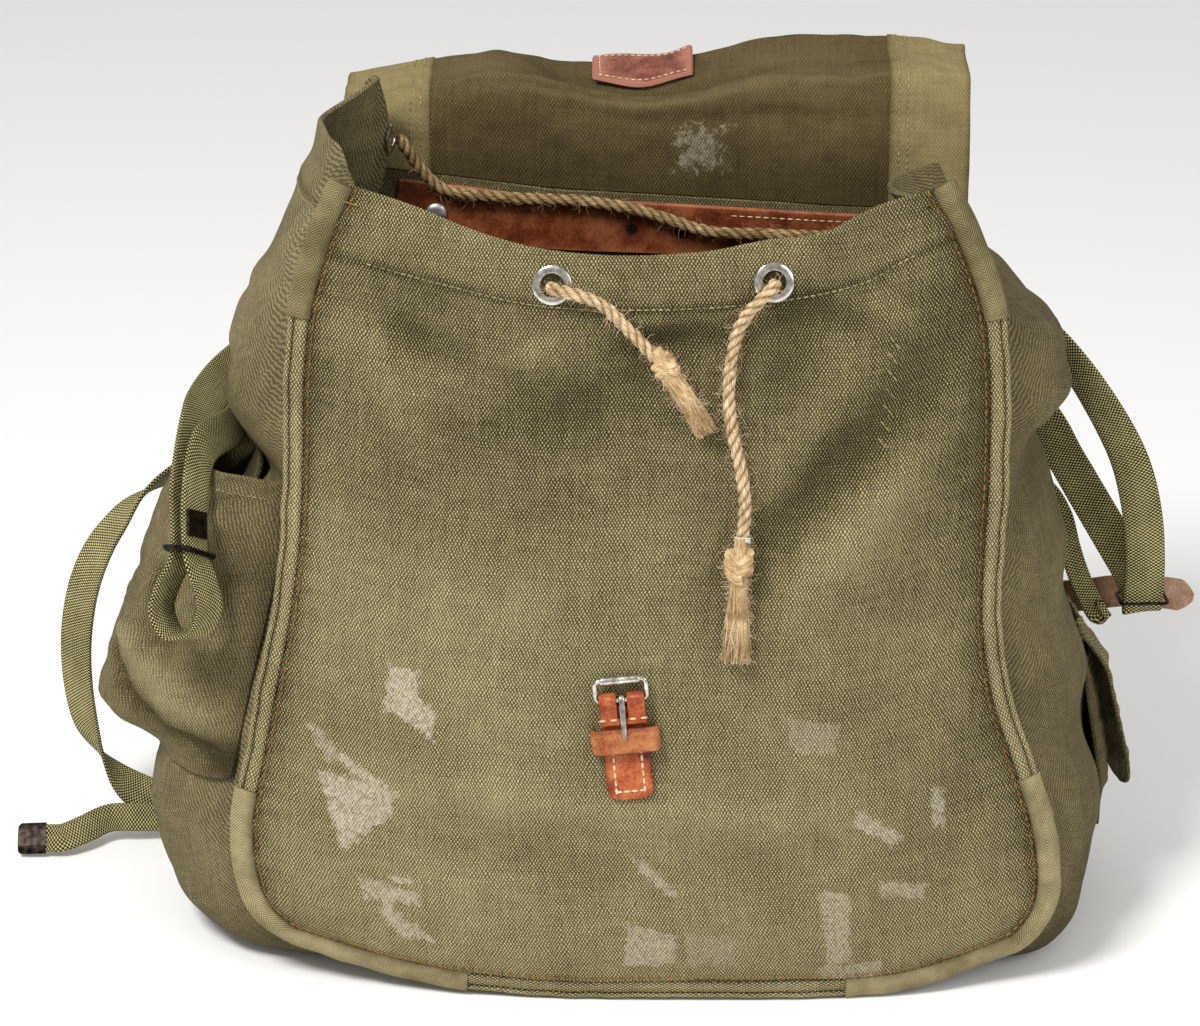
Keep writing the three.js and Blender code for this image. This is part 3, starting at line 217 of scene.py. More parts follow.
def crumple(x, y, size, seed, count=14):
    """Soft uneven waves of about unit height, with hollows about size apart."""
    draw = np.random.default_rng(seed)
    height = np.zeros(np.broadcast(x, y).shape)
    for _ in range(count):
        angle, phase = draw.uniform(0, 2 * math.pi, 2)
        length = size * draw.uniform(0.7, 1.7)
        along = np.asarray(x) * math.cos(angle) + np.asarray(y) * math.sin(angle)
        height = height + np.sin(along * 2 * math.pi / length + phase)
    return height / math.sqrt(count)


print("half way up a smooth step:", smooth(0.5, 0, 1))

# %% [markdown]
# The body is a front panel, a back panel, a base and two gussets. The side tables run from under the base to
# the mouth, with a row for each height: the seam on the front, the widest point of the gusset and the seam on
# the back. The pleat tables say how far a gusset folds inwards behind the corner of the mouth.

# %% Sizes of the body
CANVAS = 1.6
GAP = 0.4
LEATHER = 2.4
GUSSET_SET_BACK = 4
CROWN_POWER = 2.4
GUSSET_POWER = 2.6
LIP = 0.16
BACK_BULGE = 7
CORNER_ROW = 1
TOP_ROW = 13

SIDE_COLUMNS = "seam_x seam_z out_x out_z back_x back_z"
LEFT_SIDE = table(
    SIDE_COLUMNS,
    (150, 21, 172, 0, 148, 16),
    (174, 30, 226, 9, 170, 26),
    (190, 49, 247, 36, 184, 46),
    (194, 84, 252, 72, 188, 84),
    (187, 120, 243, 112, 186, 120),
    (180, 155, 231, 152, 183, 155),
    (173, 190, 216, 191, 180, 188),
    (168, 225, 200, 227, 177, 221),
    (166, 252, 191, 250, 174, 243),
    (165, 278, 209, 279, 171, 266),
    (164, 308, 205, 309, 166, 290),
    (160, 342, 189, 344, 160, 320),
    (151, 372, 172, 380, 155, 347),
    (140, 398, 161, 413, 150, 371),
)
RIGHT_SIDE = table(
    SIDE_COLUMNS,
    (155, 19, 172, 0, 150, 16),
    (179, 29, 213, 8, 171, 26),
    (191, 50, 226, 36, 185, 46),
    (188, 84, 228, 70, 188, 84),
    (177, 118, 222, 112, 186, 120),
    (166, 151, 215, 155, 183, 155),
    (160, 188, 209, 191, 180, 188),
    (160, 225, 201, 226, 176, 220),
    (161, 255, 190, 262, 172, 244),
    (161, 284, 206, 286, 168, 264),
    (160, 312, 203, 306, 164, 286),
    (156, 342, 184, 334, 157, 308),
    (144, 374, 164, 357, 149, 330),
    (131, 398, 150, 378, 143, 349),
)
LEFT_PLEAT = table(
    "place inward middle peak", (0, 0, 0.84, 0), (9, 0, 0.84, 0), (9.6, 0, 0.84, 0), (10.6, 14, 0.84, 0),
    (11.6, 34, 0.82, 0), (12.4, 32, 0.8, 4), (13, 23, 0.77, 10),
)
RIGHT_PLEAT = table(
    "place inward middle peak", (0, 0, 0.58, 0), (9, 0, 0.58, 0), (10, 0, 0.58, 0), (11, 9, 0.58, 0),
    (12, 25, 0.58, 0), (13, 34, 0.58, 0),
)
PLEAT_FRONT = 0.32
FRONT_BOTTOM = table("x z", (-174, 30), (-113, 17), (-54, 12), (0, 12), (60, 12), (123, 14), (179, 29))
FRONT_TOP = table(
    "x z", (-140, 398), (-112, 391), (-84, 381), (-56, 374), (-28, 371), (0, 371), (28, 373),
    (56, 378), (80, 380), (104, 391), (131, 398),
)
BACK_BOTTOM = table("x z", (-170, 26), (-112, 13), (-56, 9), (0, 8), (56, 9), (112, 13), (171, 26))
BACK_TOP = table(
    "x z", (-150, 371), (-100, 365), (-50, 359), (0, 356), (50, 353), (100, 350), (143, 349),
)
FRONT_CROWN = table("out", (16,), (26,), (30,), (27,), (22,), (18,), (15,))
FRONT_FOLDS = (  # x, z, width, height, turn in degrees, how far out
    (138, 205, 26, 70, -8, -5), (118, 318, 16, 62, -38, 4), (88, 330, 16, 50, -34, -4),
    (-128, 330, 18, 60, 24, -4), (0, 352, 60, 22, 0, 3), (-150, 130, 22, 80, 10, -4),
)


def seam_y(z):
    return -98 + 0.1075 * z


def back_y(z):
    return 92 - 0.033 * z


print("rows up each side:", len(LEFT_SIDE["seam_x"]), len(RIGHT_SIDE["seam_x"]))

# %% [markdown]
# A panel is cloth sewn in along its four edges. Here it is a blend between those edges, pushed out by a crown
# and by soft folds, so that it can be read anywhere by two shares: across, and up.

# %% Panels stretched between their edges
def side_edge(rows, sign, seam):
    def edge(v):
        place = lerp(CORNER_ROW, TOP_ROW, v)
        return sign * read(rows, seam + "_x", place), read(rows, seam + "_z", place)
    return edge


def cross_edge(rows):
    def edge(u):
        place = u * (len(rows["x"]) - 1)
        return read(rows, "x", place), read(rows, "z", place)
    return edge


def panel_place(u, v, seam, bottom_rows, top_rows):
    """X and Z of a panel, blended from its two side seams, its lower and its upper edge."""
    left, right = side_edge(LEFT_SIDE, -1, seam), side_edge(RIGHT_SIDE, 1, seam)
    bottom, top = cross_edge(bottom_rows), cross_edge(top_rows)
    found = []
    for axis in (0, 1):
        sides = lerp(left(v)[axis], right(v)[axis], u)
        ends = lerp(bottom(u)[axis], top(u)[axis], v)
        low = lerp(left(0)[axis], right(0)[axis], u)
        high = lerp(left(1)[axis], right(1)[axis], u)
        found.append(sides + ends - lerp(low, high, v))
    return found


def fold_field(x, z, folds):
    height = np.zeros(np.broadcast(x, z).shape)
    for fold_x, fold_z, wide, high, turn, out in folds:
        turn = math.radians(turn)
        dx, dz = x - fold_x, z - fold_z
        across = (dx * math.cos(turn) + dz * math.sin(turn)) / wide
        along = (dz * math.cos(turn) - dx * math.sin(turn)) / high
        height = height + out * np.exp(-across * across - along * along)
    return height


def front(u, v):
    x, z = panel_place(u, v, "seam", FRONT_BOTTOM, FRONT_TOP)
    inside = 1 - np.abs(2 * u - 1) ** CROWN_POWER
    crown = read(FRONT_CROWN, "out", v * (len(FRONT_CROWN["out"]) - 1))
    return np.stack([x, seam_y(z) - (crown + fold_field(x, z, FRONT_FOLDS)) * inside, z], -1)


def back(u, v):
    x, z = panel_place(1 - u, v, "back", BACK_BOTTOM, BACK_TOP)
    bulge = BACK_BULGE * (1 - (2 * u - 1) ** 2) * 4 * v * (1 - v)
    return np.stack([x, back_y(z) + bulge, z], -1)


def normal_of(surface, u, v, step=0.004):
    u, v = np.asarray(u, float), np.asarray(v, float)
    du = surface(np.minimum(u + step, 1), v) - surface(np.maximum(u - step, 0), v)
    dv = surface(u, np.minimum(v + step, 1)) - surface(u, np.maximum(v - step, 0))
    return unit(np.cross(du, dv))


def lifted(surface, lift):
    return lambda u, v: surface(u, v) + normal_of(surface, u, v) * lift


def raised(surface, height):
    """The surface moved out by a height that changes from place to place."""
    return lambda u, v: surface(u, v) + normal_of(surface, u, v) * height(u, v)[..., None]


def on_panel(surface, x, z):
    """The place and outward direction of a panel over a given X and Z, found by closing in on it."""
    u = v = 0.5
    step = 0.01
    for _ in range(12):
        here = surface(u, v)
        du = (surface(u + step, v) - here) / step
        dv = (surface(u, v + step) - here) / step
        ex, ez = x - here[0], z - here[2]
        area = du[0] * dv[2] - dv[0] * du[2]
        u = min(max(u + (ex * dv[2] - dv[0] * ez) / area, 0), 0.98)
        v = min(max(v + (du[0] * ez - ex * du[2]) / area, 0), 0.98)
    return surface(u, v), normal_of(surface, u, v)


def off_front(x, z, lift):
    place, out = on_panel(front, x, z)
    return place + out * lift


print("middle of the front panel, mm:", np.round(front(0.5, 0.5), 1))

# %% [markdown]
# Meshes are made from arrays. A grid of places becomes a wall of cloth with two faces and a rounded rim,
# and its UV map is the distance along the threads of the smooth panel, so a weave keeps its size on a curved
# panel and runs straight through the wrinkles.

# %% Cloth from a grid of places
def make_piece(name, points, faces, loop_uv, material, attributes=None, sharp=50):
    mesh = bpy.data.meshes.new(name)
    mesh.from_pydata((np.asarray(points) * MM).tolist(), [], [list(face) for face in faces])
    layer = mesh.uv_layers.new(name="cloth")
    layer.data.foreach_set("uv", (np.asarray(loop_uv, np.float32) * MM).ravel())
    for key, values in (attributes or {}).items():
        made = mesh.attributes.new(key, "FLOAT", "POINT")
        made.data.foreach_set("value", np.asarray(values, np.float32).ravel())
    mesh.polygons.foreach_set("use_smooth", np.ones(len(mesh.polygons), bool))
    mesh.set_sharp_from_angle(angle=math.radians(sharp))
    mesh.materials.append(material)
    mesh.update()
    return add_object(name, mesh)


def cells_of(index):
    return np.stack([index[:-1, :-1], index[:-1, 1:], index[1:, 1:], index[1:, :-1]], -1)


def grid_normals(grid):
    return unit(np.cross(np.gradient(grid, axis=1), np.gradient(grid, axis=0)))


def thread_lengths(grid):
    """Distance along the rows from the middle column, and up the columns from the bottom row."""
    across = np.linalg.norm(np.diff(grid, axis=1), axis=-1)
    up = np.linalg.norm(np.diff(grid, axis=0), axis=-1)
    u = np.pad(np.cumsum(across, axis=1), ((0, 0), (1, 0)))
    v = np.pad(np.cumsum(up, axis=0), ((1, 0), (0, 0)))
    return np.stack([u - u[:, u.shape[1] // 2][:, None], v], -1)


def cloth(name, grid, thick, material, attributes=None, threads=None):
    """A wall whose outer face is the grid, rows up and columns to the right seen from outside."""
    rows, columns, _ = grid.shape
    outer = grid.reshape(-1, 3)
    depth = np.broadcast_to(np.asarray(thick, float), (rows, columns)).reshape(-1, 1)
    inner = outer - grid_normals(grid).reshape(-1, 3) * depth
    index = np.arange(rows * columns).reshape(rows, columns)
    loop = np.concatenate([index[0, :-1], index[:-1, -1], index[-1, :0:-1], index[:0:-1, 0]])
    inside = index[np.clip(loop // columns, 1, rows - 2), np.clip(loop % columns, 1, columns - 2)]
    away = unit(outer[loop] - outer[inside])
    middle = (outer[loop] + inner[loop]) / 2 + away * depth[loop] * 0.4
    quads = cells_of(index).reshape(-1, 4)
    count = rows * columns
    ring = 2 * count + np.arange(len(loop))
    turn = np.roll(np.arange(len(loop)), -1)
    rim_out = np.stack([loop[turn], loop, ring, ring[turn]], -1)
    rim_in = np.stack([ring[turn], ring, loop + count, loop[turn] + count], -1)
    faces = np.concatenate([quads, quads[:, ::-1] + count, rim_out, rim_in])
    uv = thread_lengths(grid if threads is None else threads).reshape(-1, 2)
    uv = np.concatenate([uv, uv, uv[loop] + unit(uv[loop] - uv[inside]) * depth[loop] * 0.6])
    spread = {}
    for key, values in (attributes or {}).items():
        flat = np.broadcast_to(values, (rows, columns)).reshape(-1)
        spread[key] = np.concatenate([flat, flat * 0, flat[loop]])
    points = np.concatenate([outer, inner, middle])
    return make_piece(name, points, faces, uv[faces].reshape(-1, 2), material, spread)


def sample(surface, columns, rows):
    u, v = np.meshgrid(np.linspace(0, 1, columns + 1), np.linspace(0, 1, rows + 1))
    return surface(u, v)


print("a panel in 2 by 2 cells has", sample(front, 2, 2).shape[:2], "places")

# %% [markdown]
# A section carried along a route becomes a strap, a cord or a wire. Where the section was carried the other
# way round, the volume comes out negative, and the faces are turned to point outwards.

# %% Sections carried along a route
def swept(place, width, out, section):
    return place[:, None] + width[:, None] * section[..., :1] + out[:, None] * section[..., 1:]


def tube_faces(start, ahead):
    return np.stack([start, np.roll(start, -1, 1), np.roll(ahead, -1, 1), ahead], -1).reshape(-1, 4)


def tube_map(round_, along):
    u0, v0 = np.meshgrid(round_[:-1], along[:-1])
    u1, v1 = np.meshgrid(round_[1:], along[1:])
    return np.stack([u0, v0, u1, v0, u1, v1, u0, v1], -1).reshape(-1, 2)


def carried(name, place, width, out, section, material, closed=False, attributes=None):
    """A section of (across, out) corners carried along a route, with flat ends or closed on itself."""
    section = np.broadcast_to(section, (len(place), *np.shape(section)[-2:]))
    width, out = (np.broadcast_to(axis, place.shape) for axis in (width, out))
    points = swept(place, width, out, section)
    stations, sides, _ = points.shape
    index = np.arange(stations * sides).reshape(stations, sides)
    ahead = np.roll(index, -1, axis=0) if closed else index[1:]
    start = index if closed else index[:-1]
    steps = np.linalg.norm(np.diff(place, axis=0, append=place[:1]), axis=1)
    along = np.concatenate([[0], np.cumsum(steps)])
    edge = np.linalg.norm(np.roll(section[0], -1, 0) - section[0], axis=1)
    round_ = np.concatenate([[0], np.cumsum(edge)])
    uv = tube_map(round_, along[:len(start) + 1])
    faces = tube_faces(start, ahead).tolist()
    if not closed:
        faces += [index[0, ::-1].tolist(), index[-1].tolist()]
        uv = np.concatenate([uv, section[0, ::-1], section[-1]])
    spread = {key: np.broadcast_to(values, (stations, sides)) for key, values in (attributes or {}).items()}
    piece = make_piece(name, points.reshape(-1, 3), faces, uv, material, spread)
    return faced_out(piece)


def faced_out(piece):
    piece.data.calc_loop_triangles()
    corners = np.array([t.vertices for t in piece.data.loop_triangles])
    points = np.array([v.co for v in piece.data.vertices])
    a, b, c = points[corners[:, 0]], points[corners[:, 1]], points[corners[:, 2]]
    if np.einsum("ij,ij->i", a, np.cross(b, c)).sum() < 0:
        piece.data.flip_normals()
    return piece


def rounded_flat(width, thick, corner=3):
    """A flat section with half-round edges, as woven webbing has."""
    r = thick / 2
    turn = np.linspace(-math.pi / 2, math.pi / 2, 2 * corner + 1)
    right = np.stack([width / 2 - r + r * np.cos(turn), r * np.sin(turn)], -1)
    top = np.stack([np.linspace(width / 2 - r, -width / 2 + r, 7)[1:-1], np.full(5, r)], -1)
    return np.concatenate([right, top, -right, -top])


def ring_section(radius, sides):
    turn = np.linspace(0, 2 * math.pi, sides, endpoint=False)
    return np.stack([radius * np.cos(turn), radius * np.sin(turn)], -1)


print("a flat section has", len(rounded_flat(20, 2)), "corners")

# %% [markdown]
# Every piece is tied to the frame. It moves with one body, and stands for a solid of the frame where there is
# one. Stitches and loose hairs have no solid.

# %% Tying pieces to the frame
def dress(piece, node, body="bag"):
    """The piece stands for a solid of the frame and moves with its body."""
    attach(piece, body)
    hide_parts(node)
    return piece


def trim(piece, slot):
    """A small piece that the frame has no solid for."""
    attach(piece, "bag")
    return piece


# %% [markdown]
# A route through a few places is a smooth curve. Frames are carried along it without twisting, so that
# a round section stays round in every bend.

# %% Routes
def smooth_route(places, step):
    """Places every step along a centripetal curve through the given places."""
    p = np.asarray(places, float)
    p = np.concatenate([[2 * p[0] - p[1]], p, [2 * p[-1] - p[-2]]])
    found = []
    for a, b, c, d in zip(p[:-3], p[1:-2], p[2:-1], p[3:]):
        t1 = np.linalg.norm(b - a) ** 0.5
        t2 = t1 + np.linalg.norm(c - b) ** 0.5
        t3 = t2 + np.linalg.norm(d - c) ** 0.5
        t = np.linspace(t1, t2, 40, endpoint=False)[:, None]
        ab = lerp(a, b, t / t1)
        bc = lerp(b, c, (t - t1) / (t2 - t1))
        cd = lerp(c, d, (t - t2) / (t3 - t2))
        found.append(lerp(lerp(ab, bc, t / t2), lerp(bc, cd, (t - t1) / (t3 - t1)), (t - t1) / (t2 - t1)))
    return evenly(np.concatenate([*found, p[-2:-1]]), step)


def lengths_along(points):
    return np.concatenate([[0], np.cumsum(np.linalg.norm(np.diff(points, axis=0), axis=1))])


def evenly(points, step):
    lengths = lengths_along(points)
    count = max(int(round(lengths[-1] / step)), 2)
    at = np.linspace(0, lengths[-1], count + 1)
    return np.stack([np.interp(at, lengths, points[:, k]) for k in range(3)], -1)


def route_length(points):
    return float(np.linalg.norm(np.diff(points, axis=0), axis=1).sum())


def carried_frames(points, closed=False):
    """Directions across a route that turn with it as little as they can."""
    if closed:
        run = unit(np.roll(points, -1, 0) - np.roll(points, 1, 0))
    else:
        run = unit(np.gradient(points, axis=0))
    start = np.array([0, 0, 1.0]) if abs(run[0][2]) < 0.9 else np.array([0, 1.0, 0])
    across = [unit(np.cross(run[0], start))]
    for step in run[1:]:
        across.append(unit(across[-1] - step * np.dot(across[-1], step)))
    across = np.array(across)
    return across, np.cross(run, across)


print("a straight route of 100 mm:", route_length(evenly(np.array([(0, 0, 0), (100.0, 0, 0)]), 5)))

# %% [markdown]
# The drawcord is jute twine of three strands. It leaves the bag through two nickel eyelets, and each free end
# is knotted and frayed. The twine is a tube whose section has three lobes that turn along the route, so the
# strands are real grooves, and the grooves are darkened further with painted shade. Jute is a dull plant
# fibre, so it has no gloss, and its colour changes from fibre to fibre: the noise is drawn out along the
# strand, half a millimetre wide. The run inside the mouth is painted darker, as painted shade for the inside
# of the bag.

# %% Jute
def jute_material(name, colours):
    material, node, shader = new_material(name, 0.92, 0.2)
    threads, place, shade = readings(node, "shade")
    fibre = stretched(node, threads, *FIBRE)
    broad = node("TexNoise", {"Vector": place, "Scale": per_mm(9), "Detail": 3.0})
    tone = total(node, (fibre, 1.1), (broad, 0.5), (shade, -0.42))
    colour = node("ValToRGB", {"Fac": tone}, stops=list(zip((0.34, 0.7, 1.0), colours)))
    finish_surface(node, shader, colour, fibre, 0.9, 0.8)
    return material


FIBRE = (0.45, 6)  # mm across and along
JUTE = jute_material("jute_twine", ("#59421f", "#b0936b", "#f0dabb"))
FRAYED_JUTE = jute_material("frayed_jute", ("#5a4020", "#ae8c5e", "#ecd3a9"))
CORD_RADIUS = 3.1
CORD_LAY = 17.0
CORD_STEP = 0.8
INSIDE_PAINTED_SHADE = 0.55
CORD_LEFT = [off_front(*place) for place in (
    (-51, 359.5, -15), (-47, 357.2, -8), (-46, 356.7, -0.5), (-45.6, 356.7, 5.2), (-37, 355.5, 8.4),
    (-23, 350.5, 5.6), (-11.6, 340, 4.6), (2.2, 325.6, 5.6),
)]
CORD_RIGHT = [off_front(*place) for place in (
    (57, 358.2, -0.5), (56.6, 358, 5.2), (50, 352.5, 8.4), (43.6, 345, 5.8), (39.5, 335, 4.6),
    (37.2, 322, 4.6), (36.4, 305, 4.6), (38.4, 289, 4.6), (42.7, 270, 4.6), (44.6, 254, 4.6),
    (43.3, 239.4, 5.8),
)]
CORD_INSIDE = [
    (-125.5, 57, 391), (-120, 62, 380.5), (-113, 66, 369.5), (-104, 69.5, 361), (-75, 71.8, 356.5),
    (-35, 72, 354.5), (-8.6, 72, 350.5), (11.6, 72, 344), (28.8, 72, 339), (59, 72, 337.5), (88, 68, 338),
    (106, 50, 345), (112, 8, 357), (108, -28, 370), (92, -46, 372), (72, -54, 364),
    off_front(59, 359.1, -15), off_front(57, 358.4, -8), off_front(57, 358.2, -0.9),
]


def strand_section(route, radius, sides=30, lay=CORD_LAY, strands=3, groove=0.34):
    """A lobed section for each place along the twine, turned by its lay, and the depth of each corner, as
    painted shade in the grooves.
    """
    length = np.linspace(0, route_length(route), len(route))[:, None]
    turn = np.linspace(0, 2 * math.pi, sides, endpoint=False)[None]
    lobe = np.abs(np.cos(strands * (turn - 2 * math.pi * length / lay) / 2)) ** 0.8
    reach = radius * (1 - groove + groove * lobe) * (1 + 0.05 * crumple(length, 0 * length, 14, 9))
    return np.stack([reach * np.cos(turn), reach * np.sin(turn)], -1), (1 - lobe) ** 2


def twine(node, name, places):
    route = smooth_route(places, CORD_STEP)
    section, groove_shade = strand_section(route, CORD_RADIUS)
    # Painted shade in the grooves between strands, and over the whole run inside the mouth.
    shade = groove_shade + (INSIDE_PAINTED_SHADE if node == "cord_inside" else 0)
    piece = carried(name, route, *carried_frames(route), section, JUTE, attributes={"shade": shade})
    print(name, "mm long:", round(route_length(route), 1))
    return dress(piece, node), route


cord_left, left_route = twine("cord_left_end", "drawcord_left_end", CORD_LEFT)
cord_inside, inside_route = twine("cord_inside", "drawcord_inside", CORD_INSIDE)
cord_right, right_route = twine("cord_right_end", "drawcord_right_end", CORD_RIGHT)

# %% [markdown]
# Each knot is the twine wound round itself, and the end under it is untwisted into yarns and loose fibres.
# The yarns are thin tapered tubes round a core, each with its own bend and length, drawn from a fixed seed.

# %% Knots and frayed ends
def bundle(name, items, material):
    """Tubes in one piece: each item is a route and the section at its places."""
    points, faces, uv, start = [], [], [], 0
    for route, section in items:
        tube = swept(route, *carried_frames(route), section)
        stations, sides, _ = tube.shape
        index = start + np.arange(stations * sides).reshape(stations, sides)
        along = np.linspace(0, route_length(route), stations)
        round_ = np.arange(sides + 1) * 2 * math.pi * np.linalg.norm(section[0, 0]) / sides
        faces += tube_faces(index[:-1], index[1:]).tolist() + [index[0, ::-1].tolist(), index[-1].tolist()]
        uv += [tube_map(round_, along), np.zeros((2 * sides, 2))]
        points.append(tube.reshape(-1, 3))
        start += stations * sides
    return make_piece(name, np.concatenate(points), faces, np.concatenate(uv), material, sharp=80)


def tapered(route, start, end, sides=5):
    return route, ring_section(1, sides)[None] * np.linspace(start, end, len(route))[:, None, None]


def frayed_end(node, name, knot, end, size, seed):
    """Twine wound at the knot, and yarns that hang from it to the end."""
    draw = np.random.default_rng(seed)
    down = unit(end - knot)
    aside = unit(np.cross(down, np.array([0, 1.0, 0])))
    forth = np.cross(aside, down)
    long = np.linalg.norm(end - knot)

    def at(along, angle, out):
        return knot + down * along + aside * np.cos(angle) * out + forth * np.sin(angle) * out * 0.8

    turn = np.linspace(0, size["turns"] * 2 * math.pi, KNOT_PLACES)[:, None]
    rise = np.linspace(-0.5, 0.5, KNOT_PLACES)[:, None] * size["tall"] + 1.1 * np.sin(2 * turn + seed)
    winding = evenly(at(rise, turn, size["radius"] * (1 + 0.1 * np.sin(3 * turn + seed))), CORD_STEP)
    core = at(np.linspace(-1.25 * size["tall"], 0.86 * long, 20)[:, None], 0, 0)
    items = [(winding, strand_section(winding, size["twine"], sides=18, lay=11)[0]),
             tapered(core, size["core"], size["core"], 12)]
    for _ in range(size["yarns"]):
        angle = draw.uniform(0, 2 * math.pi)
        near = size["near"] * draw.uniform(0.75, 1.05)
        far = size["far"] * draw.uniform(0.25, 1.0) ** 0.6
        reach = long * (1 - 0.2 * draw.random() ** 2)
        t = np.linspace(0.04, 1, 11)[:, None]
        wave = np.sin(t * draw.uniform(3, 9) + angle) * draw.uniform(0.1, 0.5) * t
        thick = draw.choice(YARNS["thick"], p=YARNS["share"])
        items.append(tapered(at(reach * t, angle + wave, lerp(near, far, t ** 1.4)), thick, thick * 0.4))
    return dress(bundle(name, items, FRAYED_JUTE), node)


KNOT_PLACES = 80
YARNS = {"thick": [0.24, 0.5, 1.0], "share": [0.4, 0.35, 0.25]}
LEFT_KNOT = {"turns": 2.4, "tall": 8.0, "radius": 3.5, "twine": 2.8, "core": 3.6, "near": 4.2, "far": 5.4,
             "yarns": 170}
RIGHT_KNOT = {"turns": 2.8, "tall": 10.5, "radius": 4.0, "twine": 3.2, "core": 3.0, "near": 3.0, "far": 7.4,
              "yarns": 170}
left_tassel = frayed_end(
    "left_tassel", "left_frayed_knot", off_front(7, 320.9, 6.5), off_front(27, 289.5, 6), LEFT_KNOT, 3)
right_tassel = frayed_end(
    "right_tassel", "right_frayed_knot", off_front(42, 228, 7), off_front(40.4, 181.5, 6.4), RIGHT_KNOT, 5)

route_length(left_route) * MM
route_length(right_route) * MM
route_length(inside_route) * MM
print("knots:", len(left_tassel.data.polygons), len(right_tassel.data.polygons), "faces")

# %% [markdown]
# The right cord is whipped above its knot: three turns of white thread keep the strands together. A whipping
# is a helix about the cord's last few millimetres.

# %% Whipping
WHIP = {"turns": 3, "radius": 3.6, "thread": 0.45, "rise": 1 / 9, "back": 1.2}
whip_turn = np.linspace(0, WHIP["turns"] * 2 * math.pi, 60)[:, None]
whip_run = unit(right_route[-1] - right_route[-4])
whip_aside = unit(np.cross(whip_run, np.array([0, 1.0, 0])))
whip_forth = np.cross(whip_run, whip_aside)
whip = right_route[-1] - whip_run * WHIP["back"] + whip_aside * np.cos(whip_turn) * WHIP["radius"]
whip = whip + whip_forth * np.sin(whip_turn) * WHIP["radius"] + whip_run * whip_turn * WHIP["rise"]
WHITE_THREAD = jute_material("white_whipping_thread", ("#a89e8c", "#d9d2c4", "#f4f0e6"))
trim(bundle("right_whipping", [tapered(whip, WHIP["thread"], WHIP["thread"], 6)], WHITE_THREAD), "jute")
print("whipping turns:", WHIP["turns"])

# %% [markdown]
# The bag is sewn from heavy cotton canvas in a plain weave. In a plain weave a pale thread comes to the face
# in every second cell of a checkerboard, so the pattern is the product of two waves, with half waves as long
# as the threads are apart. They are drawn a little coarser than the real ones, so that they show. Real
# threads wander, so noise moves the pattern aside, and single threads are paler or darker along their run.
# Old canvas is matt and faded. A shade value that the mesh carries darkens it: dirt, and painted shade along
# the seams and in the folds. Pale marks are left where sticky tape was pulled off: the mesh says where, and
# noise two to four millimetres wide makes the marks ragged and flaked.

# %% Canvas
THREADS = (0.82, 1.3)  # mm between threads, across and up
THREAD_DRIFT = {"length": 5, "aside": 2.2}
PATCHES = ((55, 5, 0.6), (5, 4, 0.65), (4, 5, 0.75), (2.2, 4, 0.7))  # mm, detail and roughness of the noise


def canvas_material(name, colours, dots):
    material, node, shader = new_material(name, 0.93, 0.15)
    threads, place, shade, stain, left = readings(node, "shade", "stain", "paste")
    drift = node("TexNoise", {"Vector": threads, "Scale": per_mm(THREAD_DRIFT["length"]), "Detail": 2.0},
                 "Color")
    uneven = node("VectorMath", {
        0: drift, 1: (THREAD_DRIFT["aside"] * MM,) * 3, 2: threads}, operation="MULTIPLY_ADD")
    weave = plain_weave(node, uneven, *THREADS)
    dot = node("MapRange", {"Value": weave, "From Min": -0.15, "From Max": 0.8})
    weft, warp = stretched(node, threads, 24, 1.6), stretched(node, threads, 2, 30)
    worn, mottled, torn, rough = (
        node("TexNoise", {"Vector": place, "Scale": per_mm(size), "Detail": detail, "Roughness": harsh})
        for size, detail, harsh in PATCHES)
    tone = total(node, (dot, dots), (weft, 0.2), (warp, 0.2), (worn, 0.4), (mottled, 0.22), (shade, -0.4))
    middle = 0.51 + 0.3 * dots
    centred = total(node, (tone, 1.0), (1.0, 0.5 - middle))
    ground = node("ValToRGB", {"Fac": centred}, stops=list(zip((0.12, 0.47, 0.88), colours)))
    ragged = total(node, (torn, 2.1), (stain, 1.0))
    tape = node("MapRange", {"Value": ragged, "From Min": 1.4, "From Max": 1.62})
    paste = node("Math", {0: tape, 1: left}, operation="MULTIPLY")
    flakes = node("MapRange", {"Value": rough, "From Min": 0.4, "From Max": 0.62})
    crumbs = total(node, (dot, 0.4), (flakes, 0.6), (1.0, 0.18))
    rubbed = node("Math", {0: paste, 1: crumbs}, operation="MULTIPLY")
    colour = node("Mix", {"Factor": rubbed, 6: ground, 7: linear("#bfb5a1")}, 2, data_type="RGBA")
    finish_surface(node, shader, colour, weave, 0.5, 0.3)
    return material


FRONT_CANVAS = canvas_material("coarse_olive_canvas", ("#2d2713", "#615839", "#b4a881"), 0.6)
SIDE_CANVAS = canvas_material("dark_olive_canvas", ("#241e0e", "#544a30", "#988d69"), 0.38)
LINING_CANVAS = canvas_material("lining_canvas", ("#1f180a", "#43381f", "#695d3e"), 0.34)
print("canvas threads, mm apart:", THREADS)

# %% [markdown]
# The front panel is one piece of the coarse canvas with a hem along the mouth. Its small folds come from the
# gathers at the seams, so they are added along the normal of the smooth panel, and calm down at the edges.

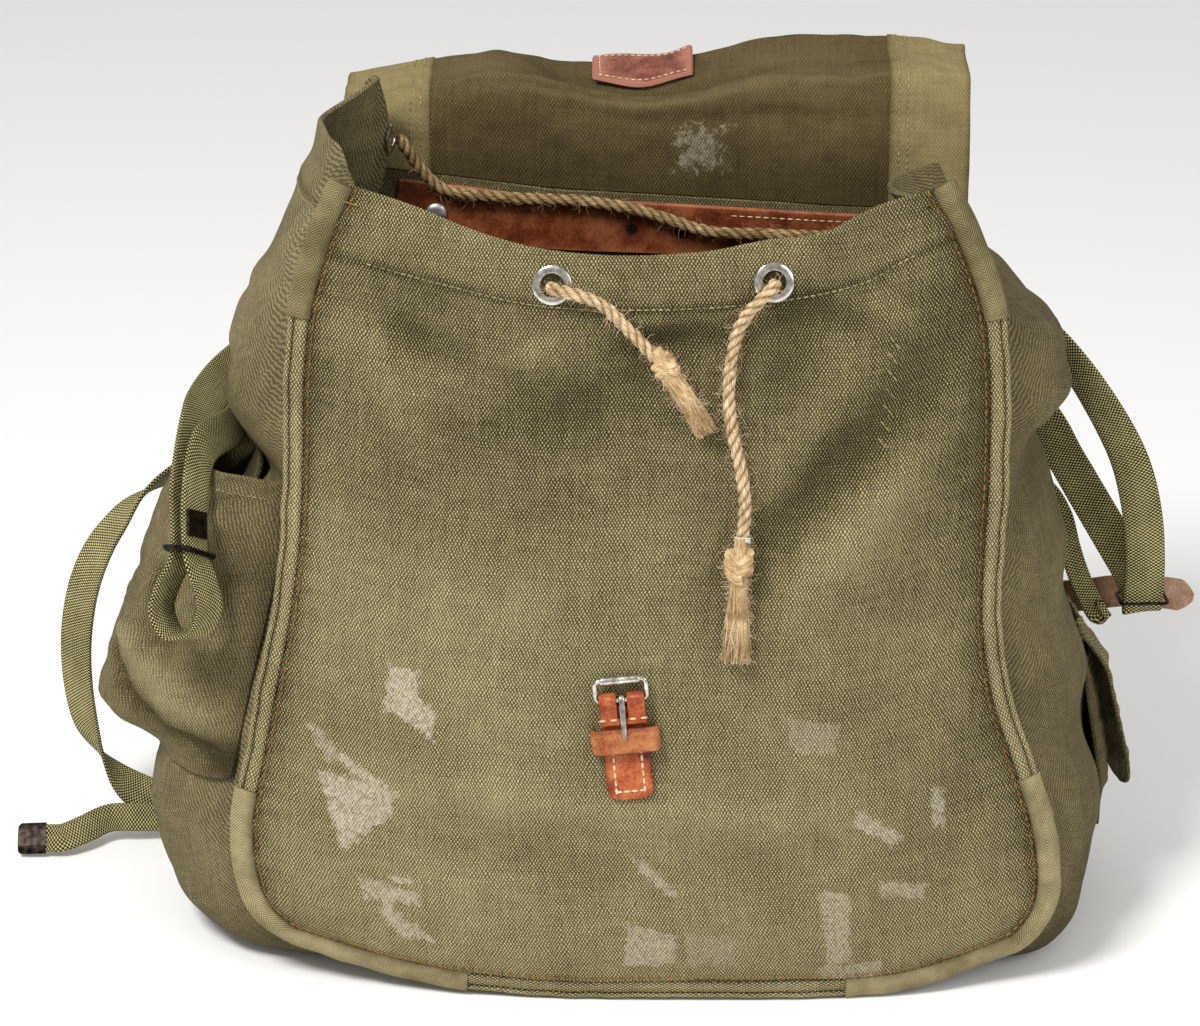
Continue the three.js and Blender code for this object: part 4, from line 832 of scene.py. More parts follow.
# %% Folds of the front
HEM = table("x z", (-150, 367), (-139, 365), (-95, 356), (-55, 348.5), (0, 347.5), (51, 350), (98, 357),
            (118, 367), (140, 376))
FRONT_EYELETS = ((-46, 358), (57, 359.5))
FINE_FOLDS = (
    (62, 318, 9, 34, -24, -2.2), (84, 300, 12, 60, -30, 1.8), (120, 352, 22, 8, -14, -2.2),
    (-30, 336, 24, 10, 16, -1.6), (-96, 346, 34, 9, -20, -1.8), (-120, 300, 10, 42, 18, 2.0),
    (-20, 106, 130, 11, -5, 2.6), (-70, 78, 70, 14, -8, -2.4), (150, 100, 14, 50, -14, -2.4),
    (8, 331, 30, 7, 8, -5.5), (-62, 322, 30, 9, 14, 3.6), (-30, 304, 44, 13, 24, -5.0),
    (80, 264, 14, 60, -44, -7.0), (106, 246, 17, 60, -40, 5.5), (92, 338, 40, 8, -20, -4.5),
    (-100, 326, 44, 9, -22, -4.5),
)


def above_hem(x, z):
    return z - read(HEM, "z", x, "x")


def front_height(u, v):
    """How far the cloth of the front stands off its plain shape."""
    x, _, z = np.moveaxis(front(u, v), -1, 0)
    edge = np.minimum(u, 1 - u)
    pucker = np.exp(-edge / 0.03) * 0.7 * np.sin(z / 2.3 + 3 * np.sin(z / 17))
    gather = np.exp(-(above_hem(x, z) / 7) ** 2) * 0.4 * np.sin(x / 2.6 + 2 * np.sin(x / 11))
    soft = 0.7 * crumple(x, z, 60, 11) + 0.25 * crumple(x, z, 22, 12)
    calm = smooth(edge, 0, 0.06)
    hem = 0.8 * smooth(above_hem(x, z), -1.2, 1.2)
    return (fold_field(x, z, FINE_FOLDS) + soft) * calm + pucker + gather + hem


print("small folds in the front:", len(FINE_FOLDS))

# %% [markdown]
# Sticky tape was once pulled off the front, and left pale dry glue in torn patches. Each patch is a few
# corners on the panel. The mesh carries how far inside a patch it lies, and the canvas does the rest.

# %% Marks of old tape
TAPE_MARKS = (  # how much is left, then the corners as X and Z
    (0.8, (-124, 173), (-110, 171), (-112, 155), (-127, 150)),
    (0.85, (-127, 153), (-113, 158), (-103, 153), (-103, 138)),
    (0.5, (-166, 138), (-159, 137), (-149, 124), (-156, 121)),
    (0.75, (-157, 126), (-149, 125), (-121, 109), (-126, 104)),
    (0.85, (-161, 116), (-123, 108), (-125, 97), (-149, 77)),
    (0.7, (-141, 63), (-112, 57), (-112, 52), (-138, 52)),
    (0.65, (-134, 49), (-127, 49), (-104, 31), (-121, 33)),
    (0.75, (-125, 64), (-115, 66), (-115, 63), (-124, 62)),
    (0.55, (-9, 82), (0, 77), (15, 60), (11, 60), (-4, 73)),
    (0.6, (-10, 45), (13, 38), (13, 23), (-11, 22)),
    (0.3, (66, 152), (92, 146), (88, 132), (68, 136)),
    (0.6, (101, 104), (124, 88), (118, 84), (99, 97)),
    (0.55, (84, 62), (98, 60), (99, 22), (88, 20)),
    (0.5, (112, 66), (136, 62), (134, 55), (114, 58)),
    (0.6, (137, 110), (143, 108), (144, 90), (139, 91)),
    (0.45, (84, 20), (114, 21), (113, 12), (86, 11)),
    (0.25, (18, 40), (42, 38), (44, 20), (20, 22)),
)


def tape_marks(x, z):
    """Where tape was stuck, rising from the mark's edge inwards, and how much of it is left."""
    stain, paste = np.zeros(x.shape), np.zeros(x.shape)
    for left, *corners in TAPE_MARKS:
        inside = np.full(x.shape, 99.0)
        for (ax, az), (bx, bz) in zip(corners, corners[1:] + corners[:1]):
            turn = (bz - az) * (x - ax) - (bx - ax) * (z - az)
            inside = np.minimum(inside, turn / math.hypot(bx - ax, bz - az))
        rising = np.clip(0.5 + inside / 6, 0, 0.85)
        paste = np.where(rising > stain, left, paste)
        stain = np.maximum(stain, rising)
    return {"stain": stain, "paste": paste}


print("marks of tape:", len(TAPE_MARKS))

# %% [markdown]
# A shade value at each place darkens the cloth: dirt and painted shade along the seam and the hem, painted
# shade in the hollows of the folds and painted light on their ridges, painted shade over the upper part and
# to the right with painted light low down, and a darker tone near the mouth. Inside the eyelets the cloth is
# painted dark, as painted shade where one looks into the bag. The hem is double cloth, so the wall is thicker
# there.

# %% Front panel
FRONT_CELLS = (180, 190)
EYELET_HOLE = 6.6
front_grid = sample(raised(front, front_height), *FRONT_CELLS)
fx, fz = front_grid[..., 0], front_grid[..., 2]
front_u = np.linspace(0, 1, FRONT_CELLS[0] + 1)[None]
# Dirt and painted shade along the side seams, and along the fold of the hem below.
seam_dirt_and_shade = np.exp(-np.minimum(front_u, 1 - front_u) / 0.018) * 0.7
hem_dirt_and_shade = np.exp(-(above_hem(fx, fz) / 2.5) ** 2) * 0.3
# Painted shade over the upper part of the front, and painted light low down.
upper_shade_lower_light = 0.34 * np.exp(-((fz - 296) / 62) ** 2) - 0.12 * smooth(130 - fz, 0, 110)
# Painted shade in the hollows of the folds, and painted light on their ridges.
fold_shade_and_light = -0.075 * fold_field(fx, fz, FINE_FOLDS)
# Painted shade inside the eyelets, where one looks into the bag.
eyelet_hole_shade = sum(1.6 * (np.hypot(fx - x, fz - z) < EYELET_HOLE) for x, z in FRONT_EYELETS)
front_thick = CANVAS + 1.5 * smooth(above_hem(fx, fz), -1, 1)
# Darker towards the mouth; painted light on the left of the panel and painted shade on its right.
mouth_dark_and_side_shade = 0.14 * smooth(fz, 330, 352) + 0.1 * np.clip(fx / 150, -1, 1)
front_shade = seam_dirt_and_shade + hem_dirt_and_shade + upper_shade_lower_light + mouth_dark_and_side_shade + fold_shade_and_light + eyelet_hole_shade
front_piece = cloth("front_panel_canvas", front_grid, front_thick, FRONT_CANVAS,
                    {"shade": front_shade, **tape_marks(fx, fz)}, sample(front, *FRONT_CELLS))
dress(front_piece, "front_panel")
print("front panel:", len(front_piece.data.polygons), "faces")

# %% [markdown]
# The sides are one gusset each, sewn behind the front's seam and to the back. They bulge, sag on the floor
# and fold inwards behind the corners of the mouth. The base is a flat panel that turns up to its seams.
# All are finer canvas, and wrinkle most where the side caves in above the pockets.

# %% Gussets, base and back
SIDE_HEM = {"stitches": 12.1, "edge": (12.15, 12.25), "fold": 12.2}  # rows of the side tables
GUSSET_CELLS = (100, 160)
GUSSETS = (  # node, its table, side, seed of the wrinkles, and a shade value: negative is painted light
    ("left_gusset", LEFT_SIDE, -1, 41, -0.2), ("right_gusset", RIGHT_SIDE, 1, 51, 0.0),
)


def lip(share):
    return np.maximum(0, 1 - share / LIP) ** 2


def gusset(rows, sign, place, depth):
    """A gusset by table row and by share of the depth, front to back."""
    value = {column: read(rows, column, place) for column in rows}
    pleats = LEFT_PLEAT if sign < 0 else RIGHT_PLEAT
    inward, middle, peak = (read(pleats, column, place, "place") for column in ("inward", "middle", "peak"))
    round_ = 1 - np.abs(2 * depth - 1) ** GUSSET_POWER
    straight = lerp(value["seam_x"], value["back_x"], depth)
    bulge = (value["out_x"] - (value["seam_x"] + value["back_x"]) / 2) * round_
    ends = lip(depth) + lip(1 - depth)
    z = lerp(value["seam_z"], value["back_z"], depth) * ends + value["out_z"] * (1 - ends)
    behind = depth - middle
    reach = np.clip(behind / np.where(behind < 0, PLEAT_FRONT, 1 - middle), -1, 1)
    fold = (1 + np.cos(np.pi * reach)) / 2
    y = lerp(seam_y(value["seam_z"]) + GUSSET_SET_BACK, back_y(value["back_z"]) - CANVAS - GAP, depth)
    return np.stack([sign * (straight + bulge - inward * fold), y, z + peak * fold], -1)


def plain_gusset(rows, sign):
    return lambda u, v: gusset(rows, sign, v * TOP_ROW, 1 - u if sign < 0 else u)


def side_wrinkles(place, depth, seed):
    free = smooth(np.minimum(depth, 1 - depth), 0, 0.12) * smooth(place, 0.2, 1.6)
    slack = 1.9 * crumple(depth * 60, place * 30, 46, seed)
    slack = slack + 0.7 * crumple(depth * 90, place * 30, 18, seed + 1)
    waist = 3.0 * np.exp(-((place - 8 - 1.5 * (depth - 0.5)) / 0.35) ** 2)
    hem = 0.7 * smooth(place, *SIDE_HEM["edge"])
    return free * (slack - waist) + hem


def gusset_cloth(rows, sign, seed):
    def height(u, v):
        return side_wrinkles(v * TOP_ROW, 1 - u if sign < 0 else u, seed)
    return raised(plain_gusset(rows, sign), height)


def base(u, v):
    depth = 1 - v
    left = gusset(LEFT_SIDE, -1, 0 * depth, depth)[..., 0] + 2 * GAP
    right = gusset(RIGHT_SIDE, 1, 0 * depth, depth)[..., 0] - 2 * GAP
    x = lerp(left, right, u)
    front_z, back_z = read(FRONT_BOTTOM, "z", x, "x"), read(BACK_BOTTOM, "z", x, "x")
    front_y = seam_y(front_z) - FRONT_CROWN["out"][0] * (1 - np.abs(2 * u - 1) ** CROWN_POWER)
    y = lerp(front_y + GUSSET_SET_BACK, back_y(back_z) - CANVAS - GAP, depth)
    return np.stack([x, y, front_z * lip(depth) + back_z * lip(1 - depth)], -1)


def back_height(u, v):
    x, _, z = np.moveaxis(back(u, v), -1, 0)
    return 0.8 * crumple(x, z, 70, 31) * smooth(np.minimum(u, 1 - u), 0, 0.1)


for name, rows, sign, seed, tone in GUSSETS:
    grid = sample(gusset_cloth(rows, sign, seed), *GUSSET_CELLS)
    grid[..., 2] = np.maximum(grid[..., 2], 0)
    up = np.linspace(0, TOP_ROW, GUSSET_CELLS[1] + 1)[:, None]
    # Dirt and painted shade along the fold of the hem.
    hem_dirt_and_shade = 0.5 * np.exp(-((up - SIDE_HEM["fold"]) / 0.05) ** 2)
    # Darker towards the bottom; the left gusset's negative shade value is painted light.
    dirt_and_shade = tone + 0.4 * smooth(70 - grid[..., 2], 0, 70) + hem_dirt_and_shade
    thick = CANVAS + 1.2 * smooth(up, *SIDE_HEM["edge"])
    dress(cloth(name + "_canvas", grid, thick, SIDE_CANVAS, {"shade": dirt_and_shade},
                sample(plain_gusset(rows, sign), *GUSSET_CELLS)), name)
dress(cloth("base_panel_canvas", sample(base, 60, 50), CANVAS, SIDE_CANVAS), "base_panel")
back_grid = sample(raised(back, back_height), 100, 110)
dress(cloth("back_panel_canvas", back_grid, CANVAS, SIDE_CANVAS), "back_panel")
print("sides, base and back dressed")

# %% [markdown]
# The seam round the front stands out as a thick double edge with a groove along it. Herringbone tape is sewn
# over its four corners, where it wears: its ribs slant one way and then the other, about 1.5 mm apart.
# Both are sections carried along the edge of the front panel.

# %% Herringbone tape
HERRINGBONE = {"rib": 1.5, "turn": 6.0}  # mm from rib to rib, and across before the ribs turn


def tape_material():
    material, node, shader = new_material("herringbone_tape", 0.9, 0.18)
    threads, place, shade = readings(node, "shade")
    across, along, _ = node("SeparateXYZ", {0: threads}, None).outputs
    zigzag = node("Math", {0: across, 1: HERRINGBONE["turn"] * MM}, operation="PINGPONG")
    slant = node("Math", {0: along, 1: zigzag}, operation="ADD")
    turn = node("Math", {0: slant, 1: 2 * math.pi / (HERRINGBONE["rib"] * MM)}, operation="MULTIPLY")
    rib = node("Math", {0: turn}, operation="SINE")
    worn = node("TexNoise", {"Vector": place, "Scale": per_mm(18), "Detail": 5.0, "Roughness": 0.6})
    tone = total(node, (rib, 0.17), (worn, 0.8), (shade, -0.4))
    colour = node("ValToRGB", {"Fac": tone}, stops=((0.1, "#4f472c"), (0.42, "#857955"), (0.75, "#b5a983")))
    finish_surface(node, shader, colour, rib, 0.7, 0.3)
    return material


TAPE = tape_material()
print("herringbone ribs, mm apart:", HERRINGBONE["rib"])

# %% [markdown]
# The edge is divided into stations, down the left side, along the bottom and up the right side. The roll has
# a groove between its two layers, darkened with painted shade, and the tape is one smooth bow over both.

# %% Front seam
RIM_STEPS = {"side": 44, "bottom": 34}
FINE = 6
# Painted shade on the top tapes, and painted light on the other pieces.
RIM_SHADE = {"top": 0.3, "rest": -0.15}
RIM_PIECES = (  # node, first and last station
    ("top_left_tape", 0, 8), ("left_edge_roll", 8, 35), ("bottom_left_tape", 35, 52),
    ("bottom_edge_roll", 52, 70), ("bottom_right_tape", 70, 88), ("right_edge_roll", 88, 114),
    ("top_right_tape", 114, 122),
)
ROLL = np.array([  # across, out, and painted shade: darkest in the grooves, paler on the crests
    (0.4, 0.1, 0.7), (1.2, 0.7, 0.2), (3.2, 0.9, -0.1), (5.4, 0.9, 0), (6.7, 0.7, 0.2), (7.4, 0.0, 0.95),
    (8.1, 0.9, 0.1), (9.1, 1.4, -0.1), (10.1, 1.1, 0), (10.6, 0.3, 0.1), (10.2, -0.5, 0.5), (9.2, -1.0, 0.9),
    (10.4, -1.6, 0.2), (10.6, -2.3, 0), (9.8, -3.0, 0.2), (7, -3.3, 0.4), (3, -3.1, 0.6), (0.4, -2.6, 0.9),
])
# The tape's rows are read the same way: across, out, and painted shade at its edges and beneath.
TAPED = np.array([
    (-0.4, 0.5, 0.8), (0.3, 1.4, 0.3), (2.5, 2.0, 0), (6, 2.35, -0.1), (9.4, 2.1, 0), (11.3, 1.3, 0),
    (12.1, 0.1, 0), (12.2, -1.4, 0), (11.4, -2.7, 0.1), (9.4, -3.4, 0.3), (5, -3.6, 0.4), (0.4, -3.2, 0.7),
])
side, bottom = RIM_STEPS["side"] * FINE, RIM_STEPS["bottom"] * FINE
down_left = [(0, 1 - k / side) for k in range(side)]
along_bottom = [(k / bottom, 0) for k in range(bottom)]
up_right = [(1, k / side) for k in range(side + 1)]
rim_u, rim_v = np.array(down_left + along_bottom + up_right).T
rim_place = front(rim_u, rim_v)
rim_out = normal_of(front, rim_u, rim_v)
rim_width = unit(np.cross(unit(np.gradient(rim_place, axis=0)), rim_out))
rim_along = lengths_along(rim_place)
for name, first, last in RIM_PIECES:
    span = slice(first * FINE, last * FINE + 1)
    corners, material = (TAPED, TAPE) if name.endswith("tape") else (ROLL, FRONT_CANVAS)
    along = rim_along[span]
    wave = 0.3 * np.sin(along / 4.3 + 2 * np.sin(along / 21)) + 0.4 * crumple(along, along * 0, 34, 61)
    uneven = np.stack([corners[:, 0] + 0.5 * wave[:, None] * (corners[:, 0] > 5),
                       corners[:, 1] + 0.35 * wave[:, None]], -1)
    # Painted shade from the section's grooves, plus the painted shade of a top tape or the painted light of
    # the rest.
    dirt_and_shade = corners[None, :, 2] + RIM_SHADE["top" if name.startswith("top") else "rest"]
    piece = carried(name + "_sewn", rim_place[span], rim_width[span], rim_out[span], uneven, material,
                    attributes={"shade": dirt_and_shade})
    dress(piece, name)
print("front seam mm long:", round(float(rim_along[-1])))

# %% [markdown]
# Leather is skin, so it has a fine pebbled grain and is smoother and darker where it has been handled.
# The grain is a Voronoi pattern of cells about a millimetre wide, drawn a little coarse so that it shows.

# %% Leather
LEATHER_GRAIN = 1.1  # mm


def leather_material(name, colours, rough):
    material, node, shader = new_material(name, rough, 0.35)
    place = node("TexCoord", output="Object")
    wear, hole_shade = (node("Attribute", output="Fac", attribute_name=key) for key in ("wear", "hole_shade"))
    broad = node("TexNoise", {"Vector": place, "Scale": per_mm(14), "Detail": 6.0, "Roughness": 0.65})
    cells = node("TexVoronoi", {"Vector": place, "Scale": per_mm(LEATHER_GRAIN)})
    tone = total(node, (broad, 1.3), (cells, -0.24), (wear, 0.45))
    hide = node("ValToRGB", {"Fac": tone}, stops=list(zip((0.2, 0.45, 0.76), colours)))
    # Painted shade: the hide is painted near black where the holes are punched.
    colour = node("Mix", {"Factor": hole_shade, 6: hide, 7: linear("#120a07")}, 2, data_type="RGBA")
    finish_surface(node, shader, colour, total(node, (broad, 1.5), (cells, 1.0)), 0.35, 0.2)
    return material


BAND_LEATHER = leather_material("red_brown_leather", ("#421809", "#682e13", "#925534"), 0.5)
TAB_LEATHER = leather_material("worn_brown_leather", ("#3a190f", "#6d3a2a", "#96604d"), 0.55)
BUCKLE_LEATHER = leather_material("orange_tan_leather", ("#4a1705", "#953f17", "#c07344"), 0.42)
KEEPER_LEATHER = leather_material("handled_tan_leather", ("#43200c", "#8e4823", "#b6794a"), 0.5)
STRAP_LEATHER = leather_material("brown_strap_leather", ("#5e3f2d", "#9a735a", "#c4a186"), 0.6)
print("leather grain, mm:", LEATHER_GRAIN)

# %% [markdown]
# A band of red brown leather strengthens the back of the mouth, with two punched holes and a rivet. The holes
# are painted near black on the hide, as painted shade. It lies inside the back wall, so its grid is the
# wall's grid moved in, with its columns turned round.

# %% Band in the mouth
BAND_CELLS = (220, 36)
BAND_HOLE = 3.3
BAND_REACH = {"left": 0.92, "right": 0.1, "low": 0.89, "high": 0.985}
BAND_HOLES = ((-10, 338), (15, 336))


def band(u, v, lift=0.0):
    across = lerp(BAND_REACH["right"], BAND_REACH["left"], u)
    return lifted(back, -CANVAS - GAP - lift)(across, lerp(BAND_REACH["low"], BAND_REACH["high"], v))


band_grid = sample(band, *BAND_CELLS)
band_grid = (band_grid - grid_normals(band_grid) * LEATHER)[:, ::-1]
band_edge = np.abs(np.linspace(-1, 1, BAND_CELLS[1] + 1))[:, None] ** 8
# Painted shade: near black where the holes are punched, as the hide itself is not cut.
hole_shade_mask = sum(np.exp(-(np.hypot(band_grid[..., 0] - x, band_grid[..., 2] - z) / BAND_HOLE) ** 10)
              for x, z in BAND_HOLES)
band_looks = {"wear": 0.4 * band_edge, "hole_shade": hole_shade_mask}
dress(cloth("leather_band_hide", band_grid, LEATHER, BAND_LEATHER, band_looks), "leather_band")
print("leather band dressed")

# %% [markdown]
# The lid goes up from the back wall, over a soft ridge, and hangs down behind the bag. What shows from the
# front is its inside, a darker lining canvas, with a paler strip sewn along each side. Its shape is read by X
# and by the share of the way along it.

# %% Lid
LID_WAVES = table(
    "x ridge top", (-156, 402, 404), (-114, 409, 412), (-76, 414, 416), (-40, 409, 411), (-10, 402, 412),
    (20, 405, 415), (56, 413, 423), (102, 416, 424), (124, 418, 423), (160, 416, 419),
)
LID_FALL = table(
    "y hinge ridge top drop", (78.5, 1, 0, 0, -1), (81, 0.5, 0.5, 0, 0), (88, 0.1, 0.9, 0, 0),
    (101, 0, 1, 0, 0), (117, 0, 0.4, 0.6, 0), (133, 0, 0, 1, 0), (146, 0, 0, 1, 12),
    (153, 0, 0, 1, 42), (154, 0, 0, 1, 82), (151, 0, 0, 1, 122),
)
LID_EDGES = {"left": -155, "left_seam": -114, "right_seam": 122, "right": 159}
LID_FOLDS = (
    (10, 60, 90, 6, 3, 2.4), (60, 44, 70, 5, -4, -1.8), (-60, 76, 60, 6, 5, 2.0),
    (40, 92, 80, 7, 4, -1.5), (80, 70, 60, 5, -3, 1.6), (-45, 104, 13, 30, 16, -3.0),
    (-84, 100, 20, 24, 8, 2.0), (74, 104, 34, 22, -6, 1.6),
)
LID_RUN = 260  # mm along the lid
LID_CELLS = (150, 160)
LID_STRIPS = (
    ("lid_left_strip", LID_EDGES["left"], LID_EDGES["left_seam"] + 2),
    ("lid_right_strip", LID_EDGES["right_seam"] - 2, LID_EDGES["right"]),
)
STRIP_CELLS = 24
STRIP_LIFT = 1.0


def lid(x, share):
    place = share * (len(LID_FALL["y"]) - 1)
    value = {column: read(LID_FALL, column, place) for column in LID_FALL}
    z = read(BACK_TOP, "z", x, "x") * value["hinge"] + read(LID_WAVES, "ridge", x, "x") * value["ridge"]
    z = z + read(LID_WAVES, "top", x, "x") * value["top"] - value["drop"]
    return np.stack([x + 0 * z, value["y"] + 0 * z, z], -1)


def lid_part(left, right, low=0.0, high=1.0):
    return lambda u, v: lid(lerp(left, right, u), lerp(low, high, v))


def lid_cloth(left, right, lift=0.0):
    def height(u, v):
        x, run = lerp(left, right, u), v * LID_RUN
        soft = 1.0 * crumple(x, run, 60, 71) + 0.4 * crumple(x, run, 20, 72) + fold_field(x, run, LID_FOLDS)
        return lift + smooth(v, 0.02, 0.1) * soft
    return raised(lid_part(left, right), height)


lid_seams = (LID_EDGES["left_seam"], LID_EDGES["right_seam"])
lid_grid = sample(lid_cloth(*lid_seams), *LID_CELLS)
lx, lz = lid_grid[..., 0], lid_grid[..., 2]
chalk = np.clip(0.8 - np.maximum(np.abs(lx - 24) / 14, np.abs(lz - 380) / 12) * 0.5, 0, 0.7)
# Painted shade in the hollows of the lid's folds, and painted light on their ridges.
lid_fold_shade = -0.13 * fold_field(lx, np.linspace(0, LID_RUN, len(lid_grid))[:, None], LID_FOLDS)
# Painted light on the top of the lid, and painted shade below it.
lid_shade = 0.5 * smooth(402 - lz, 0, 40) - 0.3 + lid_fold_shade
lid_piece = cloth("lid_lining", lid_grid, CANVAS, LINING_CANVAS,
                  {"stain": chalk, "paste": 0.35 + 0 * lx, "shade": lid_shade},
                  sample(lid_part(*lid_seams), *LID_CELLS))
dress(lid_piece, "lid_panel")
STRIP_CANVAS = canvas_material("faded_strip_canvas", ("#4a3e26", "#7d704a", "#a3956e"), 0.2)
strip_shade = 0.5 * np.abs(np.linspace(-1, 1, STRIP_CELLS + 1))[None] ** 10
for name, left, right in LID_STRIPS:
    grid = sample(lid_cloth(left, right, STRIP_LIFT), STRIP_CELLS, LID_CELLS[1])
    dress(cloth(name + "_twill", grid, CANVAS, STRIP_CANVAS, {"shade": strip_shade}), name)
lid_size = thread_lengths(lid_grid)
print("lid mm:", np.round(np.ptp(lid_size[..., 0])), np.round(lid_size[..., 1].max()))

# %% [markdown]
# A worn tab of leather is sewn to the inside of the lid. Old thin leather curls, so its free corners are
# lifted, and its lower edge was cut slanting.

# %% Lid tab
LID_TAB = {"left": -30, "right": 20, "from": 0.36, "to": 0.54}
TAB_CELLS = (48, 30)
tab_place = lid_part(LID_TAB["left"], LID_TAB["right"], LID_TAB["from"], LID_TAB["to"])
tab_plain = lifted(tab_place, LEATHER + 2 * GAP)


def tab(u, v):
    cut = lerp(0.02 + 0.2 * u ** 2 + 0.03 * np.sin(9 * u), 1, v)
    curl = 1.6 * smooth(u, 0.75, 1) * smooth(v, 0.5, 1) + 0.7 * np.sin(7 * u) * smooth(v, 0.3, 1)
    return tab_plain(u, cut) + normal_of(tab_plain, u, cut) * curl[..., None]


tab_across, tab_up = (np.abs(np.linspace(-1, 1, cells + 1)) for cells in TAB_CELLS)
tab_edge = np.maximum(tab_across[None], tab_up[:, None]) ** 8
dress(cloth("lid_tab_hide", sample(tab, *TAB_CELLS), LEATHER, TAB_LEATHER, {"wear": tab_edge}), "lid_tab")
print("lid tab cut")

# %% [markdown]
# Straps are flat woven cotton webbing, 20 mm wide. Each follows a table of places, with the direction of its
# width at each place, and its edges are half round, as woven edges are. The weave is coarse: ribs run along
# the strap 1.25 mm apart and the weft crosses them every 0.85 mm.

# %% Webbing
WEBBING_THREADS = (1.25, 0.85)  # mm between ribs, and between the weft's threads


def webbing_material():
    material, node, shader = new_material("cotton_webbing", 0.85, 0.2)
    threads, place, shade = readings(node, "shade")
    weave = plain_weave(node, threads, *WEBBING_THREADS)
    worn = node("TexNoise", {"Vector": place, "Scale": per_mm(20), "Detail": 5.0, "Roughness": 0.65})
    strand = stretched(node, threads, 1.3, 30)
    tone = total(node, (weave, 0.95), (worn, 0.75), (strand, 0.3), (shade, -0.4))
    colour = node("ValToRGB", {"Fac": tone}, stops=((0.02, "#1b1504"), (0.53, "#695f33"), (1.0, "#d8ce96")))
    finish_surface(node, shader, colour, weave, 0.9, 0.5)
    return material


WEBBING_CLOTH = webbing_material()
print("webbing threads, mm apart:", WEBBING_THREADS)

# %% [markdown]
# Every row of a route is a place and the direction of the strap's width there. The rows near the back are
# worked out from the back panel itself, so that the straps lie on it.

# %% Where the straps run
WEBBING, TAIL, SIDE_LOOP = (20, 2.2), (15, 2), (12, 2)
STRAP_ROOTS = {"upper": 300, "middle": 262, "lower": 226, "x": 70, "bend": 124}
ROOT_LIFT = WEBBING[1] / 2 + 1.5 * GAP


def on_back(x, z, lift, up=1):
    place, out = on_panel(back, x, z)
    width = np.array([0, 0, up]) - up * out[2] * out
    return (*(place + out * lift), *unit(width))


def root(sign, key):
    return on_back(sign * STRAP_ROOTS["x"], STRAP_ROOTS[key], ROOT_LIFT)


def bend(sign, key):
    return on_back(sign * STRAP_ROOTS["bend"], STRAP_ROOTS[key], ROOT_LIFT + GAP)


route = partial(table, "x y z wx wy wz")
LEFT_STRAP = route(
    root(-1, "upper"), bend(-1, "upper"), (-168, 92, 291, 0, 0.15, 1), (-194, 68, 282, -0.25, 0.1, 1),
    (-210, 36, 278, -0.6, 0, 0.8), (-218, 4, 275, -0.75, -0.3, 0.55), (-223, -24, 268, -0.55, -0.7, 0.5),
    (-225.5, -54, 247, -0.47, -0.8, 0.4), (-224.1, -73.9, 222.2, -0.45, -0.8, 0.35),
    (-231, -77, 207.6, -0.45, -0.8, 0.3), (-235, -79, 193.6, -0.45, -0.8, 0.3),
    (-229, -81, 182, -0.45, -0.8, 0.3), (-217.5, -83, 183, -0.45, -0.8, 0.3),
    (-211.5, -82, 195.6, -0.45, -0.8, 0.3), (-213.5, -80, 208.6, -0.45, -0.8, 0.3),
    (-217.9, -77.1, 223, -0.45, -0.8, 0.35), (-219, -62, 247, -0.47, -0.75, 0.45),
    (-216, -40, 264, -0.5, -0.5, 0.7), (-206, -8, 262, -0.35, 0, 0.93), (-203, 24, 262, -0.25, 0, 1),
    (-195, 60, 261, -0.1, 0, 1), (-168, 92, 261, 0, 0, 1), bend(-1, "middle"), root(-1, "middle"),
)
RIGHT_STRAP = route(
    root(1, "upper"), bend(1, "upper"), (168, 92, 301, 0, 0.1, 1), (192, 70, 292, 0.3, -0.3, 0.9),
    (208, 52, 283, 0.35, -0.5, 0.8), (225, 40, 262, 0.5, -0.4, 0.75), (241, 32, 234, 0.7, -0.25, 0.62),
    (249, 28.5, 206, 0.92, -0.1, 0.36), (252, 28, 180, 0.97, -0.1, 0.24), (252.6, 29.8, 156, 0.97, -0.1, 0.2),
    (252.4, 33, 149.6, 0.97, -0.1, 0.2), (252.2, 36.2, 156, 0.97, -0.1, 0.2),
    (248, 38.5, 167, 0.95, -0.1, 0.3), (240, 43, 180, 0.9, -0.1, 0.4), (228, 49, 199, 0.8, -0.1, 0.6),
    (213, 56, 223, 0.6, -0.1, 0.8), (198, 66, 246, 0.4, -0.1, 0.9), (168, 93, 262, 0, 0.1, 1),
    bend(1, "middle"), root(1, "middle"),
)
LEFT_LOWER = route(
    root(-1, "lower"), bend(-1, "lower"), (-172, 95, 223, 0.1, 0.1, 1), (-216, 84, 218, 0.35, -0.2, 0.9),
    (-256, 72, 201, 0.6, -0.4, 0.7), (-281, 70, 176, 0.75, -0.5, 0.45), (-296, 71, 147, 0.8, -0.5, 0.3),
    (-303.5, 74, 111, 0.85, -0.5, 0.1), (-303.4, 77, 74, 0.8, -0.5, -0.2), (-297, 78, 48, 0.6, -0.5, -0.55),
    (-278, 76, 24, 0.4, -0.5, -0.75), (-252, 76, 14.5, 0.15, -0.4, -0.9), (-222, 88, 14, 0, -0.3, -1),
    (-196, 96, 16, 0, -0.1, -1), (-172, 97, 22, 0, 0, -1), on_back(-140, 32, ROOT_LIFT, -1),
)
RIGHT_LOWER = route(
    root(1, "lower"), (120, 98, 222, 0.2, 0, 1), (160, 106, 196, 0.7, 0, 0.7), (180, 108, 150, 1, 0, 0.1),
    (178, 107, 100, 1, 0, -0.2), (168, 104, 58, 0.7, 0, -0.7), on_back(146, 37, ROOT_LIFT + 3, -1),
    on_back(118, 33, ROOT_LIFT, -1),
)
